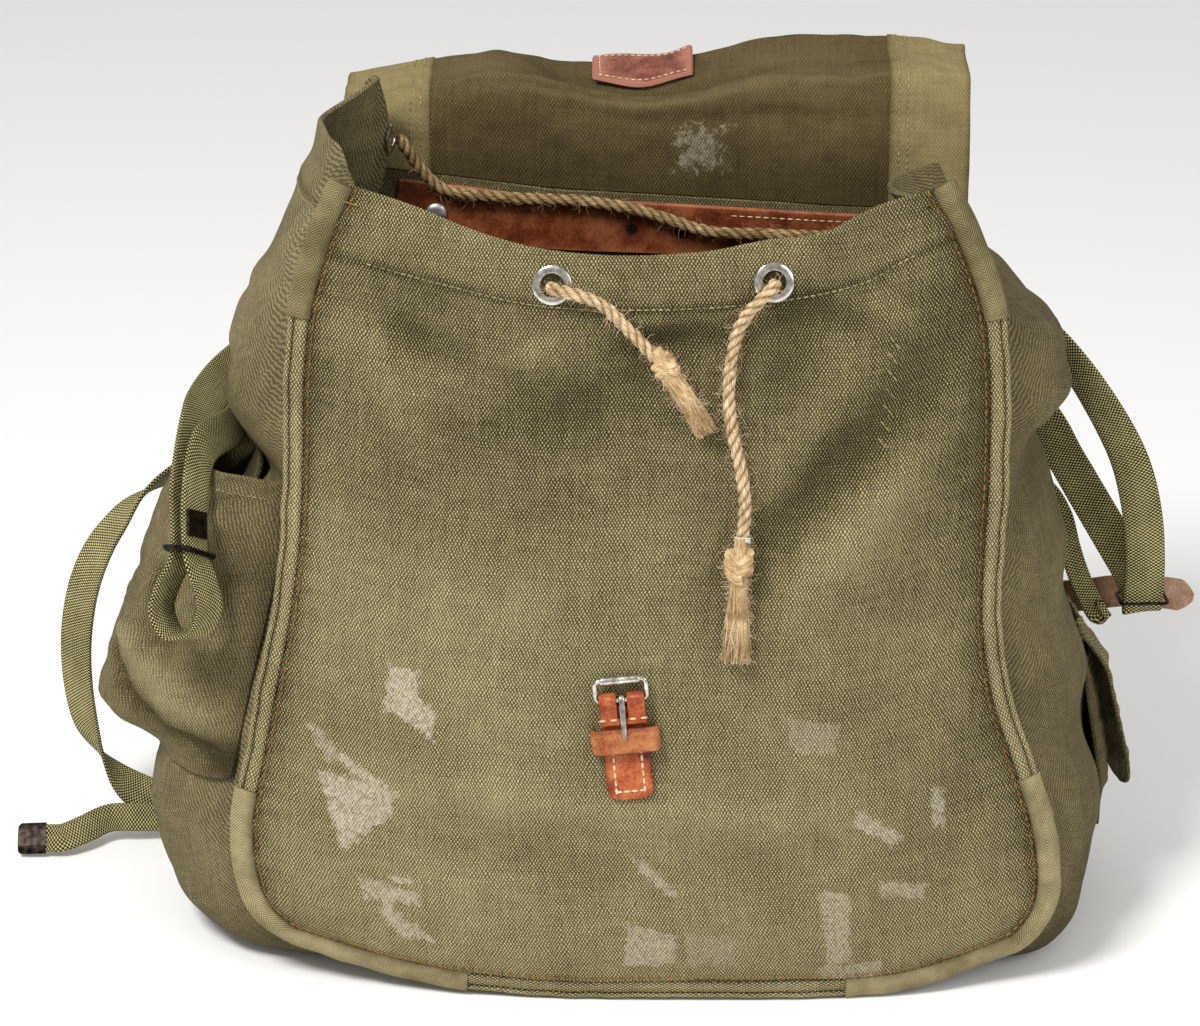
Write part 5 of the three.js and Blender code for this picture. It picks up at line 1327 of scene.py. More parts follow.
LEFT_TAIL = route(
    (-195.2, 93, 15.5, 0, 0.1, 1), (-220.8, 84.9, 13.5, 0, 0.3, 1), (-246, 66, 12.5, 0.05, 0.35, 0.93),
    (-270, 61, 13.5, 0.1, 0.4, 0.9), (-288, 60, 13.5, 0.05, 0.5, 0.85), (-300, 50, 12, -0.1, 0.6, 0.75),
    (-311, 43.5, 10, -0.25, 0.6, 0.7), (-320, 43.5, 9.5, -0.3, 0.6, 0.7),
)
RIGHT_LEATHER = route(
    on_back(150, 126, LEATHER / 2 + GAP), (184, 98, 129, 0, 0, 1), (210, 86, 134, 0, 0.1, 1),
    (227, 70, 142, 0, 0.1, 1), (243, 59, 149, 0, 0.1, 1), (258, 54, 151, 0.1, 0.1, 1),
    (270, 51, 151, 0.1, 0.1, 1), (281, 48, 150, 0.2, 0.1, 1),
)
RIGHT_LOOP = route(
    on_back(150, 196, 1 + GAP), (183, 93, 200, 0, 0, 1), (202, 79, 200, 0.4, 0.2, 0.9),
    (212, 65, 190, 0.8, 0.3, 0.5), (217, 57, 174, 0.8, 0.4, 0.4), (222, 54, 160, 0.8, 0.4, 0.4),
    (228, 54, 147, 0.8, 0.4, 0.4), (233, 53, 139, 0.8, 0.4, 0.4), (237, 55, 142, 0.7, 0.4, 0.5),
)
LID_STRAP = route(
    (-5, 150.8, 345, 1, 0, 0), (-5, 150.4, 325, 1, 0, 0), (-5, 147.6, 300, 1, 0, 0), (-5, 146, 265, 1, 0, 0),
    (-5, 145, 235, 1, 0, 0), (-5, 144, 205, 1, 0, 0),
)
print("rows of the left strap:", len(LEFT_STRAP["x"]))

# %% [markdown]
# A strap's width is kept square to its run, so it twists as webbing does. Its edges are darker in
# colour. The leather ends narrow to a point.

# %% Straps
def strap_frames(rows, steps):
    last = len(rows["x"]) - 1
    t = np.linspace(0, last, last * steps + 1)

    def place(at):
        return np.stack([read(rows, axis, at) for axis in "xyz"], -1)

    run = unit(place(np.minimum(t + 0.05, last)) - place(np.maximum(t - 0.05, 0)))
    width = np.stack([read(rows, axis, t) for axis in ("wx", "wy", "wz")], -1)
    width = unit(width - run * np.sum(width * run, -1, keepdims=True))
    return place(t), run, width, np.cross(run, width)


def strap(name, rows, size, material, point=0.0):
    """A flat strap, whose last part may narrow to a point over the given length."""
    place, _, width, out = strap_frames(rows, 12)
    left = route_length(place) - lengths_along(place)
    narrow = np.sqrt(np.clip(left / max(point, 1e-6), 0.06, 1)) if point else np.ones(len(place))
    section = rounded_flat(*size)[None] * np.stack([narrow, 0 * narrow + 1], -1)[:, None]
    edge = np.abs(rounded_flat(*size)[:, 0]) / (size[0] / 2)
    return carried(name, place, width, out, section, material,
                   attributes={"shade": 0.5 * edge[None] ** 12, "wear": -0.3 * edge[None] ** 8})


for node, rows, size in (
    ("left_strap", LEFT_STRAP, WEBBING), ("right_strap", RIGHT_STRAP, WEBBING),
    ("left_lower_strap", LEFT_LOWER, WEBBING), ("right_lower_strap", RIGHT_LOWER, WEBBING),
    ("left_tail", LEFT_TAIL, TAIL), ("right_side_loop", RIGHT_LOOP, SIDE_LOOP),
):
    piece = dress(strap(node + "_webbing", rows, size, WEBBING_CLOTH), node)
    print(piece.name, "faces:", len(piece.data.polygons))
dress(strap("right_leather_end_hide", RIGHT_LEATHER, (17, LEATHER), STRAP_LEATHER, 7), "right_leather_end")
dress(strap("lid_strap_hide", LID_STRAP, (20, 2.2), STRAP_LEATHER, 9), "lid_strap")

# %% [markdown]
# Pockets are cloth that stands out from the gussets. The left one bags open at the top. The right one lies
# flat under its flap, which is cut like a leaf. Both are read from the gusset by the same row and depth, so
# they follow it, and the wrinkles die out towards the seams.

# %% Shapes of the pockets
POCKET_EDGE = 2.6
LEFT_POCKET = {"low": 3.65, "high": 8.05, "front": 0.05, "back": 0.92, "out": 37, "floor": 0.16, "mouth": 1}
RIGHT_POCKET = {"low": 2.4, "high": 4.5, "front": 0.44, "back": 0.93, "out": 8, "floor": 0.3, "mouth": 0.4}
LEFT_FLAP = {"low": 5.2, "high": 8.3, "front": 0.34, "back": 0.74, "out": 3.6}
RIGHT_FLAP = {"low": 2.55, "high": 4.9, "front": 0.48, "back": 0.86, "over": 10, "turn": 0.25, "lift": 9}
FAN = math.radians(38)


def pocket_out(pocket, across, up):
    round_ = 1 - np.abs(2 * across - 1) ** 2.2
    press = lerp(1, pocket["mouth"], smooth(up, 0.6, 1))
    return POCKET_EDGE + pocket["out"] * round_ * press * smooth(up, 0, pocket["floor"])


def pocket_wall(rows, sign, pocket, out):
    def surface(u, v):
        across = 1 - u if sign < 0 else u
        depth = lerp(pocket["front"], pocket["back"], across)
        turn = lerp(-FAN, FAN, depth)
        outwards = np.stack([sign * np.cos(turn), np.sin(turn), 0 * turn], -1)
        cloth_behind = gusset(rows, sign, lerp(pocket["low"], pocket["high"], v), depth)
        return cloth_behind + outwards * np.asarray(out(across, v))[..., None]
    return surface


print("left pocket stands out, mm:", LEFT_POCKET["out"])

# %% [markdown]
# Besides soft wrinkles the left pocket has a few sharp creases towards the front seam. A crease is a line on
# the flat cloth, and the cloth sinks or rises the nearer it is to that line.

# %% Wrinkles and creases
POCKET_CLOTH = np.array([130.0, 150.0])  # mm across and up, about


def wrinkled(surface, size, out, seed):
    def height(u, v):
        edge = np.minimum(np.minimum(u, 1 - u), np.minimum(v, 1.2 - v))
        x, z = u * POCKET_CLOTH[0], v * POCKET_CLOTH[1]
        lift = crumple(x, z, size, seed) + 0.5 * crumple(x, z, size / 3, seed + 1)
        return out * lift * smooth(edge, 0, 0.15)
    return raised(surface, height)


def crease(u, v, start, end, wide):
    """How near the cloth is to a straight crease, from 0 to 1, with places as shares across and up."""
    place = np.stack(np.broadcast_arrays(u, v), -1) * POCKET_CLOTH
    first, run = np.array(start) * POCKET_CLOTH, (np.array(end) - start) * POCKET_CLOTH
    part = np.clip(((place - first) @ run) / (run @ run), 0, 1)
    away = np.linalg.norm(place - first - part[..., None] * run, axis=-1)
    return np.exp(-(away / (wide * (0.5 + part))) ** 2)


LEFT_CREASES = (  # depth, start, end, width
    (-5.5, (0.6, 0.3), (0.97, 0.06), 5), (3.5, (0.66, 0.36), (0.97, 0.17), 8),
    (-4.5, (0.68, 0.56), (0.8, 0.4), 5), (-2.5, (0.72, 0.78), (0.9, 0.6), 6),
)


def creased(surface, creases):
    def height(u, v):
        depth = sum(out * crease(u, v, *rest) for out, *rest in creases)
        edge = smooth(np.minimum(u, 1 - u), 0, 0.06) * smooth(np.minimum(v, 1 - v), 0, 0.1)
        return depth * edge
    return raised(surface, height)


def leaf(surface):
    """The same cloth cut narrower towards its lower tip."""
    def cut(u, v):
        tip = np.sqrt(np.clip(1 - (1 - np.clip(v / 0.6, 0, 1)) ** 2, 0.02, 1))
        half = tip * lerp(1, 0.75, smooth(v, 0.6, 1))
        return surface(0.5 + (u - 0.5) * half, v)
    return cut


def right_flap_out(across, up):
    over = RIGHT_FLAP["over"] * smooth(1 - up, 0, RIGHT_FLAP["turn"])
    return POCKET_EDGE + over + RIGHT_FLAP["lift"] * (1 - up)


print("creases in the left pocket:", len(LEFT_CREASES))

# %% [markdown]
# All four cloths are made alike, each with its own wrinkles. The hem along the upper edge is double cloth.
# The left pocket's creases have painted shade in their valleys and painted light on their ridges.

# %% Pockets and flaps
left_pocket = pocket_wall(LEFT_SIDE, -1, LEFT_POCKET, lambda a, b: pocket_out(LEFT_POCKET, a, b))
right_pocket = pocket_wall(RIGHT_SIDE, 1, RIGHT_POCKET, lambda a, b: pocket_out(RIGHT_POCKET, a, b))
left_flap = pocket_wall(LEFT_SIDE, -1, LEFT_FLAP, lambda a, b: LEFT_FLAP["out"] + 0 * a)
right_flap = leaf(pocket_wall(RIGHT_SIDE, 1, RIGHT_FLAP, right_flap_out))
POCKETS = (  # node, its shape, the wrinkles' size, height and seed, how much darker the piece is, creases
    ("left_pocket", left_pocket, (42, 2.0, 81), -0.05, LEFT_CREASES),
    ("left_pocket_flap", left_flap, (30, 0.4, 83), 0.0, ()),
    ("right_pocket", right_pocket, (30, 0.8, 85), 0.1, ()),
    ("right_pocket_flap", right_flap, (40, 0.8, 87), -0.3, ()),
)
POCKET_CELLS = (70, 90)
for node, surface, wrinkles, tone, creases in POCKETS:
    u, v = np.meshgrid(*(np.linspace(0, 1, cells + 1) for cells in POCKET_CELLS))
    # Painted shade in the valleys of the creases, and painted light on their ridges.
    crease_light_and_shade = sum(0.11 * out * crease(u, v, *rest) for out, *rest in creases)
    # Darker at the side seams, and by each piece's own tone.
    dirt_and_shade = tone + 0.5 * np.abs(2 * u - 1) ** 14 - crease_light_and_shade
    hem = CANVAS + 1.0 * smooth(v, 0.92, 0.94)
    grid = sample(creased(wrinkled(surface, *wrinkles), creases), *POCKET_CELLS)
    threads = sample(surface, *POCKET_CELLS)
    dress(cloth(node + "_canvas", grid, hem, SIDE_CANVAS, {"shade": dirt_and_shade}, threads), node)
print("pockets dressed")

# %% [markdown]
# The metal is nickel plated steel, dulled by handling, and black lacquered steel that has worn at its edges.
# A metal takes its look from what it reflects, so only its colour and roughness are set, and both vary a
# little over three millimetres. The rivet inside the mouth is scratched and duller than the eyelets.

# %% Metal
def metal_material(name, dark, light, rough):
    material, node, shader = new_material(name, rough, 0.5)
    place = node("TexCoord", output="Object")
    dull = node("TexNoise", {"Vector": place, "Scale": per_mm(3), "Detail": 6.0})
    gloss = node("MapRange", {"Value": dull, "To Min": rough - 0.08, "To Max": rough + 0.15})
    colour = node("ValToRGB", {"Fac": dull}, stops=((0.35, dark), (0.65, light)))
    join(colour, shader, "Base Color")
    join(gloss, shader, "Roughness")
    shader.inputs["Metallic"].default_value = 1.0
    return material


NICKEL = metal_material("nickel_plate", "#aaa49b", "#e2dfd8", 0.13)
DULL_NICKEL = metal_material("dulled_nickel", "#b8b3aa", "#e9e6df", 0.42)
BLACK_LACQUER = metal_material("black_lacquer", "#14110e", "#3a332d", 0.4)
print("metals:", NICKEL.name, DULL_NICKEL.name, BLACK_LACQUER.name)

# %% [markdown]
# Eyelets and the rivet are turned: a profile carried round an axis. An eyelet is a rolled collar on the face
# with a flat flange behind the cloth, and the rivet has a low domed head. Two small rings sit in the fold of
# the left gusset, where the cord goes through.

# %% Eyelets, rivet and rings
RING_SIDES = 48


def turned_ring(name, profile, place, out, material):
    """A closed profile of (radius, height) turned about a direction."""
    aside = unit(np.cross([0, 0, 1.0], out))
    up = np.cross(out, aside)
    turn = np.linspace(0, 2 * math.pi, RING_SIDES, endpoint=False)
    spoke = aside * np.cos(turn)[:, None] + up * np.sin(turn)[:, None]
    centre = np.broadcast_to(np.asarray(place, float), (RING_SIDES, 3))
    return carried(name, centre, spoke, out, np.array(profile), material, closed=True)


def arc(x, y, radius, start, end, steps):
    turn = np.radians(np.linspace(start, end, steps + 1))
    return [(x + radius * math.cos(a), y + radius * math.sin(a)) for a in turn]


EYELET_PROFILE = [
    (5.4, -2.9), (8.7, -2.9), (8.9, -2.3), (6.0, -2.2), (6.0, 0.6), *arc(8.8, 1.0, 0.7, -60, 60, 4),
    (7.4, 1.9), *arc(6.2, 1.0, 0.8, 60, 180, 5), (5.4, -1.5),
]
for node, (x, z) in zip(("left_front_eyelet", "right_front_eyelet"), FRONT_EYELETS):
    place, out = on_panel(front, x, z)
    dress(turned_ring(node + "_nickel", EYELET_PROFILE, place + out * 0.6, out, NICKEL), node)
RIVET = {"x": -109, "z": 347, "rim": 5.5, "crown": 2.4}
rivet_place, rivet_out = on_panel(back, RIVET["x"], RIVET["z"])
rivet_place = rivet_place - rivet_out * (CANVAS + LEATHER + 2.5 * GAP)
RIVET_PROFILE = [
    (0.05, -0.2), (RIVET["rim"], -0.2), (RIVET["rim"], 0.4), (RIVET["rim"] * 0.86, 1.1),
    (RIVET["rim"] * 0.6, 1.7), (RIVET["crown"] * 0.6, 2.0), (0.05, 2.05),
]
dress(turned_ring("band_rivet_nickel", RIVET_PROFILE, rivet_place, -rivet_out, DULL_NICKEL), "band_rivet")

RING_LIFT = 3.4
PLEAT_RING = [(3.6, -0.6), (6.8, -0.6), (7.0, 0.4), (5.6, 1.1), (4.0, 0.9), (3.5, 0.2)]
pleat_surface = plain_gusset(LEFT_SIDE, -1)
pleat_u, pleat_v = np.meshgrid(np.linspace(0.02, 0.98, 160), np.linspace(0.8, 0.99, 80))
pleat_grid = pleat_surface(pleat_u, pleat_v)
for name, target, material, slot in (
    ("pleat_ring_black", (-153, 10, 400), BLACK_LACQUER, "black_metal"),
    ("pleat_ring_nickel", (-131, 52, 392), NICKEL, "nickel"),
):
    away = np.linalg.norm(pleat_grid - np.array(target), axis=-1)
    nearest = np.unravel_index(np.argmin(away), pleat_u.shape)
    inwards = -normal_of(pleat_surface, pleat_u[nearest], pleat_v[nearest])
    trim(turned_ring(name, PLEAT_RING, pleat_grid[nearest] + inwards * RING_LIFT, inwards, material), slot)
print("eyelets, rivet and rings turned")

# %% [markdown]
# The buckle is a wire frame with a loose roller, held in a fold of leather. Its shapes are made in a frame of
# their own, X along the bar, Y up the panel and Z out of it, so that the wire, the hide and the pin share
# one pivot. The leather is a section that follows its own middle line round the bar.

# %% Buckle
BUCKLE = {"x": -13, "z": 163, "turn": math.radians(5.8), "pivot": 4.1, "leather": 2.0, "width": 22,
          "length": 50}
FRAME = {"half": 12.2, "height": 10, "wire": 1.25, "rise": math.radians(4)}
WIRE = {"step": 0.8, "sides": 12}
ROLLER = {"half": 9.4, "radius": 2.15, "places": 40}
seat, seat_out = on_panel(front, BUCKLE["x"], BUCKLE["z"])
level = unit(np.cross([0, 0, 1.0], seat_out))
steep = np.cross(seat_out, level)
bar_axis = level * math.cos(BUCKLE["turn"]) + steep * math.sin(BUCKLE["turn"])
up_axis = np.cross(seat_out, bar_axis)


def placed(points, origin, x, y, z):
    p = np.asarray(points, float)
    return origin + p[..., :1] * x + p[..., 1:2] * y + p[..., 2:3] * z


def from_buckle(points, swing=0.0):
    """Places in the buckle's frame, swung about its bar, to places on the bag."""
    x, y, z = np.moveaxis(np.asarray(points, float), -1, 0)
    turned = [x, y * math.cos(swing) - z * math.sin(swing), y * math.sin(swing) + z * math.cos(swing)]
    return placed(np.stack(turned, -1), seat + seat_out * BUCKLE["pivot"], bar_axis, up_axis, seat_out)


def wire_loop(half_x, low, high, corner=2.0):
    """A rounded rectangle in X and Y."""
    x, top, bottom = half_x - corner, high - corner, low + corner
    corners = arc(x, top, corner, 0, 90, 6) + arc(-x, top, corner, 90, 180, 6)
    corners += arc(-x, bottom, corner, 180, 270, 6) + arc(x, bottom, corner, 270, 360, 6)
    loop = np.array([(a, b, 0) for a, b in corners])
    return evenly(np.concatenate([loop, loop[:1]]), WIRE["step"])[:-1]


def wire(name, loop, radius, material):
    section = ring_section(radius, WIRE["sides"])
    return carried(name, loop, *carried_frames(loop, closed=True), section, material, closed=True)


frame_loop = from_buckle(wire_loop(FRAME["half"], 0, FRAME["height"]), FRAME["rise"])
dress(wire("buckle_frame_wire", frame_loop, FRAME["wire"], NICKEL), "buckle_frame", "buckle_frame")
roller_x = np.linspace(-ROLLER["half"], ROLLER["half"], ROLLER["places"])
roller_line = np.stack([roller_x, 0 * roller_x + FRAME["height"], 0 * roller_x], -1)
roller_line = from_buckle(roller_line, FRAME["rise"])
roller_radius = ROLLER["radius"] - 0.35 * np.clip(np.abs(roller_x) - 8.4, 0, 1) ** 2
roller_section = ring_section(1, 24)[None] * roller_radius[:, None, None]
dress(carried("buckle_roller_tube", roller_line, *carried_frames(roller_line), roller_section, NICKEL),
      "buckle_roller", "buckle_roller")
print("wire frame and roller made")

# %% [markdown]
# The leather of the buckle is one strip folded round the bar, its long end down the panel and its short end
# sewn over it. A slot in the fold leaves room for the prong, whose eye goes round the bar. So the strip is a
# grid of cells about its middle line, with the slot's cells left out and walls wherever a cell has no
# neighbour. Its lower corners are cut round.

# %% Buckle leather
SLOT = {"half": 2.5, "back": -4, "front": -8.5}
EDGES = np.array([1, 0.96, 0.6, 0.28])  # places across the strip, as shares of half its width


def slotted_hide(name, path, widths, cut_rows):
    """A strip of hide about a line in Y and Z, with rounded edges and a slot along some of its rows."""
    path = np.asarray(path, float)
    run = unit(np.gradient(path, axis=0))
    out = np.stack([0 * run[:, 0], -run[:, 2], run[:, 1]], -1)[:, None]
    slot_edge = SLOT["half"] / np.max(widths)
    across = np.concatenate([-EDGES, [-slot_edge, slot_edge], EDGES[::-1]])
    half = np.where(np.abs(across) == 1, 0.2, 0.5) * np.ones((len(path), 1))
    half[np.ix_(cut_rows, np.abs(across) == slot_edge)] = 0.25
    middle = path[:, None] + across[:, None] * np.asarray(widths)[:, None, None] * np.array([1.0, 0, 0])
    rows, columns, _ = middle.shape
    index = np.arange(rows * columns).reshape(rows, columns)
    keep = np.ones((rows - 1, columns - 1), bool)
    keep[cut_rows[:-1], columns // 2 - 1] = False
    cells = cells_of(index)[keep]
    edges = np.concatenate([cells[:, [k, (k + 1) % 4]] for k in range(4)])
    used = {(a, b) for a, b in edges.tolist()}
    rim = np.array([(a, b) for a, b in edges.tolist() if (b, a) not in used])
    count = rows * columns
    walls = np.stack([rim[:, 1], rim[:, 0], rim[:, 0] + count, rim[:, 1] + count], -1)
    faces = np.concatenate([cells, cells[:, ::-1] + count, walls])
    lift = out * BUCKLE["leather"] * half[..., None]
    points = from_buckle(np.concatenate([(middle + lift).reshape(-1, 3), (middle - lift).reshape(-1, 3)]))
    wear = np.tile(np.where(np.abs(across) > 0.9, -0.35, 0.0), 2 * rows)
    kept, faces = np.unique(faces, return_inverse=True)
    faces = faces.reshape(-1, 4)
    along = np.broadcast_to(np.arange(rows)[:, None] * 0.8, (rows, columns))
    flat = np.tile(np.stack([middle[..., 0], along], -1).reshape(-1, 2), (2, 1))[kept]
    piece = make_piece(name, points[kept], faces, flat[faces].reshape(-1, 2), BUCKLE_LEATHER,
                       {"wear": wear[kept]})
    return faced_out(piece)


back_z = GAP + BUCKLE["leather"] / 2 - BUCKLE["pivot"]
FRONT_END = -11.5
END_CORNER = 5
chape_back = [(0, y, back_z) for y in np.linspace(-BUCKLE["length"], -0.01, 60)]
chape_turn = [(0, y, z) for y, z in arc(0, 0, -back_z, -90, 90, 14)[1:-1]]
chape_front = [(0, y, -back_z - 0.9 * smooth(-y, 0, 9)) for y in np.linspace(-0.01, FRONT_END, 16)]
chape_path = np.array(chape_back + chape_turn + chape_front)
rounded = np.clip(1 - np.arange(len(chape_path)) * 0.83 / END_CORNER, 0, 1)
chape_width = BUCKLE["width"] / 2 - END_CORNER * (1 - np.sqrt(1 - rounded ** 2))
chape_y, over_bar = chape_path[:, 1], chape_path[:, 2] > 0
slot_rows = np.flatnonzero((chape_y > SLOT["back"]) | (over_bar & (chape_y > SLOT["front"])))
dress(slotted_hide("buckle_chape_hide", chape_path, chape_width, slot_rows), "buckle_chape")
print("slot rows:", len(slot_rows))

# %% [markdown]
# The keeper is a loop of the same hide across both layers, a little browner where the strap rubbed it. It is
# a flat section carried over a low arch, from one foot on the canvas to the other.

# %% Keeper
KEEPER = {"top": -13.8, "bottom": -26, "half": 16.4, "height": 7.4, "wall": 1.9, "bow": 3}
rise = KEEPER["height"] - KEEPER["wall"] / 2 - BUCKLE["pivot"]
foot = GAP - BUCKLE["pivot"]
side_x = KEEPER["half"] - KEEPER["wall"] / 2
bow = KEEPER["bow"]
keeper_line = [(-side_x, z) for z in np.linspace(foot, rise - bow, 6)]
keeper_line += arc(-side_x + bow, rise - bow, bow, 180, 90, 6)[1:]
keeper_line += [(x, rise) for x in np.linspace(-side_x + bow + 1, side_x - bow - 1, 18)]
keeper_line += arc(side_x - bow, rise - bow, bow, 90, 0, 6)
keeper_line += [(side_x, z) for z in np.linspace(rise - bow, foot, 6)][1:]
keeper_path = np.array([(x, (KEEPER["top"] + KEEPER["bottom"]) / 2, z) for x, z in keeper_line])
keeper_place = from_buckle(keeper_path)
keeper_out = np.cross(up_axis, unit(np.gradient(keeper_place, axis=0)))
keeper_section = rounded_flat(KEEPER["top"] - KEEPER["bottom"], KEEPER["wall"])
keeper_wear = 0.1 * np.sin(np.arange(len(keeper_path)) / 3.0)[:, None]
keeper_wear = keeper_wear - 0.45 * smooth(keeper_section[:, 0], 3, 6)[None]
dress(carried("buckle_keeper_hide", keeper_place, up_axis, keeper_out, keeper_section, KEEPER_LEATHER,
              attributes={"wear": keeper_wear}), "buckle_keeper")
print("keeper mm high:", KEEPER["height"])

# %% [markdown]
# The prong is a flat pin whose eye is bent round the bar. It lies on the leather and narrows to its tip, and
# it swings about the same bar as the frame.

# %% Prong
PRONG = {"length": 18.5, "rise": math.radians(-10), "eye": 2.15, "thick": 1.1}
prong_eye = arc(0, 0, PRONG["eye"], -150, 90, 16)
pin_y = np.linspace(-0.6, -PRONG["length"], 30)
pin_z = PRONG["eye"] - 0.25 * smooth(-pin_y, 2, 9) + 0.25 * smooth(-pin_y, 12, 18)
prong_y, prong_z = np.concatenate([prong_eye, np.stack([pin_y, pin_z], -1)]).T
prong_line = from_buckle(np.stack([0 * prong_y, prong_y, prong_z], -1), PRONG["rise"])
prong_half = np.interp(-prong_y, [-2.2, 4, 10, 17, 18.5], [1.45, 1.45, 1.25, 1.0, 0.7])
prong_size = np.stack([prong_half, 0 * prong_half + 1], -1)
prong_section = rounded_flat(2, PRONG["thick"])[None] * prong_size[:, None]
prong_out = np.cross(unit(np.gradient(prong_line, axis=0)), bar_axis)
dress(carried("buckle_prong_pin", prong_line, bar_axis, prong_out, prong_section, NICKEL),
      "buckle_prong", "buckle_prong")
print("prong mm long:", PRONG["length"])

# %% [markdown]
# The straps end in black lacquered metal: a slider with a middle bar, a small plate, a tip that clamps the
# webbing, and a wire loop. Each is placed by the strap's own frame at the row where it sits.

# %% Metal on the straps
LEFT_SLIDER_ROWS, RIGHT_SLIDER_ROWS = (8, 15), (9, 11)  # where the strap goes through, there and back
left_place, left_run, left_width, _ = strap_frames(LEFT_STRAP, 1)
there, back_again = LEFT_SLIDER_ROWS
slider_mid = (left_place[there] + left_place[back_again]) / 2
slider_axes = (left_width[there], np.cross(left_run[there], left_width[there]), left_run[there])
slider_loop = placed(wire_loop(12.4, -6.6, 6.6), slider_mid, *slider_axes)
dress(wire("left_slider_wire", slider_loop, 1.4, BLACK_LACQUER), "left_slider")
slider_bar_line = slider_mid + np.linspace(-12, 12, 12)[:, None] * slider_axes[0]
trim(carried("left_slider_bar", slider_bar_line, *carried_frames(slider_bar_line), ring_section(1.3, 12),
             BLACK_LACQUER), "black_metal")

PLATE_AT = 62
fine_place, fine_run, fine_width, fine_out = (part[PLATE_AT] for part in strap_frames(LEFT_STRAP, 4))
plate_side = 1 if fine_out[1] < 0 else -1
plate_mid = fine_place + fine_out * plate_side * (WEBBING[1] / 2 + GAP + 0.6)
plate_line = plate_mid + np.linspace(-6.5, 6.5, 10)[:, None] * fine_run
plate = carried(
    "left_strap_plate_metal", plate_line, fine_width, fine_out, rounded_flat(16, 1.2), BLACK_LACQUER)
dress(plate, "left_strap_plate")

tail_place, tail_run, tail_width, tail_out = (part[-1] for part in strap_frames(LEFT_TAIL, 1))
tip_y = np.linspace(0.3, 15.3, 24)
tip_half = 8.5 - 1.6 * np.clip((tip_y - 13) / 2.3, 0, 1) ** 2
tip_flat = rounded_flat(2, 3)
dimple = 1 - 0.45 * np.exp(-((tip_y[:, None] - 6) / 2.2) ** 2 - (tip_flat[None, :, 0] / 0.35) ** 2)
tip_section = np.stack([tip_flat[None, :, 0] * tip_half[:, None], tip_flat[None, :, 1] * dimple], -1)
tip_line = tail_place + tip_y[:, None] * tail_run
tip = carried("left_tail_tip_metal", tip_line, tail_width, tail_out, tip_section, BLACK_LACQUER)
dress(tip, "left_tail_tip")

right_place, _, right_width, _ = strap_frames(RIGHT_STRAP, 1)
there, back_again = RIGHT_SLIDER_ROWS
wire_y = unit(right_place[there] - right_place[back_again])
wire_x = unit(right_width[there] - wire_y * np.dot(right_width[there], wire_y))
wire_mid = (right_place[there] + right_place[back_again]) / 2
wire_ring = placed(wire_loop(12.1, -7.7, 7.7), wire_mid, wire_x, wire_y, np.cross(wire_x, wire_y))
dress(wire("right_slider_wire", wire_ring, 0.9, BLACK_LACQUER), "right_slider")
print("strap metal made")

# %% [markdown]
# Stitches repeat along every seam, so they are one Geometry Nodes tree: it resamples a line at the stitch
# spacing and sets a small bead of thread at each place, turned along the line. Every bead of a row is
# alike on the real bag too, since one machine sewed it.

# %% Stitches
def new_tree(name, inputs):
    """A Geometry Nodes tree with named inputs, and the sockets that they arrive at."""
    tree = bpy.data.node_groups.new(name, "GeometryNodeTree")
    for title, kind in {"Geometry": "Geometry", **inputs}.items():
        tree.interface.new_socket(title, in_out="INPUT", socket_type="NodeSocket" + kind)
    tree.interface.new_socket("Geometry", in_out="OUTPUT", socket_type="NodeSocketGeometry")
    node = partial(add_node, tree)
    return tree, node, node("NodeGroupInput", output=None).outputs


def stitch_tree():
    tree, node, given = new_tree("sewn_row", {
        "Pitch": "Float", "Length": "Float", "Thread": "Float", "Colour": "Material"})
    line = node("GeometryNodeMeshToCurve", {"Mesh": given["Geometry"]})
    places = node("GeometryNodeResampleCurve", {"Curve": line, "Length": given["Pitch"]}, mode="LENGTH")
    tangent = node("GeometryNodeInputTangent")
    turned = node("FunctionNodeAlignRotationToVector", {"Vector": tangent}, axis="Z")
    half, half_length = (node("Math", {0: given[key], 1: 0.5}, operation="MULTIPLY")
                         for key in ("Thread", "Length"))
    size = node("CombineXYZ", {0: half, 1: half, 2: half_length})
    bead = node("GeometryNodeMeshUVSphere", {"Segments": 6, "Rings": 5, "Radius": 1.0})
    shaped = node("GeometryNodeTransform", {"Geometry": bead, "Scale": size})
    sewn = node("GeometryNodeInstanceOnPoints", {"Points": places, "Instance": shaped, "Rotation": turned})
    soft = node("GeometryNodeSetShadeSmooth", {"Geometry": sewn})
    real = node("GeometryNodeRealizeInstances", {"Geometry": soft})
    coloured = node("GeometryNodeSetMaterial", {"Geometry": real, "Material": given["Colour"]})
    node("NodeGroupOutput", {"Geometry": coloured}, None)
    return tree


def thread_material(name, dark, light):
    material, node, shader = new_material(name, 0.8, 0.25)
    place = node("TexCoord", output="Object")
    uneven = node("TexNoise", {"Vector": place, "Scale": per_mm(6), "Detail": 3.0})
    colour = node("ValToRGB", {"Fac": uneven}, stops=((0.3, dark), (0.7, light)))
    join(colour, shader, "Base Color")
    return material


SEWN_ROW = stitch_tree()
ORANGE_THREAD = thread_material("orange_brown_thread", "#5a3c16", "#93662b")
PALE_THREAD = thread_material("pale_olive_thread", "#6b6140", "#a89c70")
CREAM_THREAD = thread_material("cream_thread", "#a98f68", "#e6d2ae")
MUSTARD_THREAD = thread_material("mustard_thread", "#5c4a1c", "#8f742f")
print("threads:", ORANGE_THREAD.name, PALE_THREAD.name, CREAM_THREAD.name, MUSTARD_THREAD.name)

# %% [markdown]
# A tree runs as a modifier on a piece that carries it. Its inputs are set by their identifiers, and what it
# made is then kept as a plain mesh of its own, so the carrier can go.

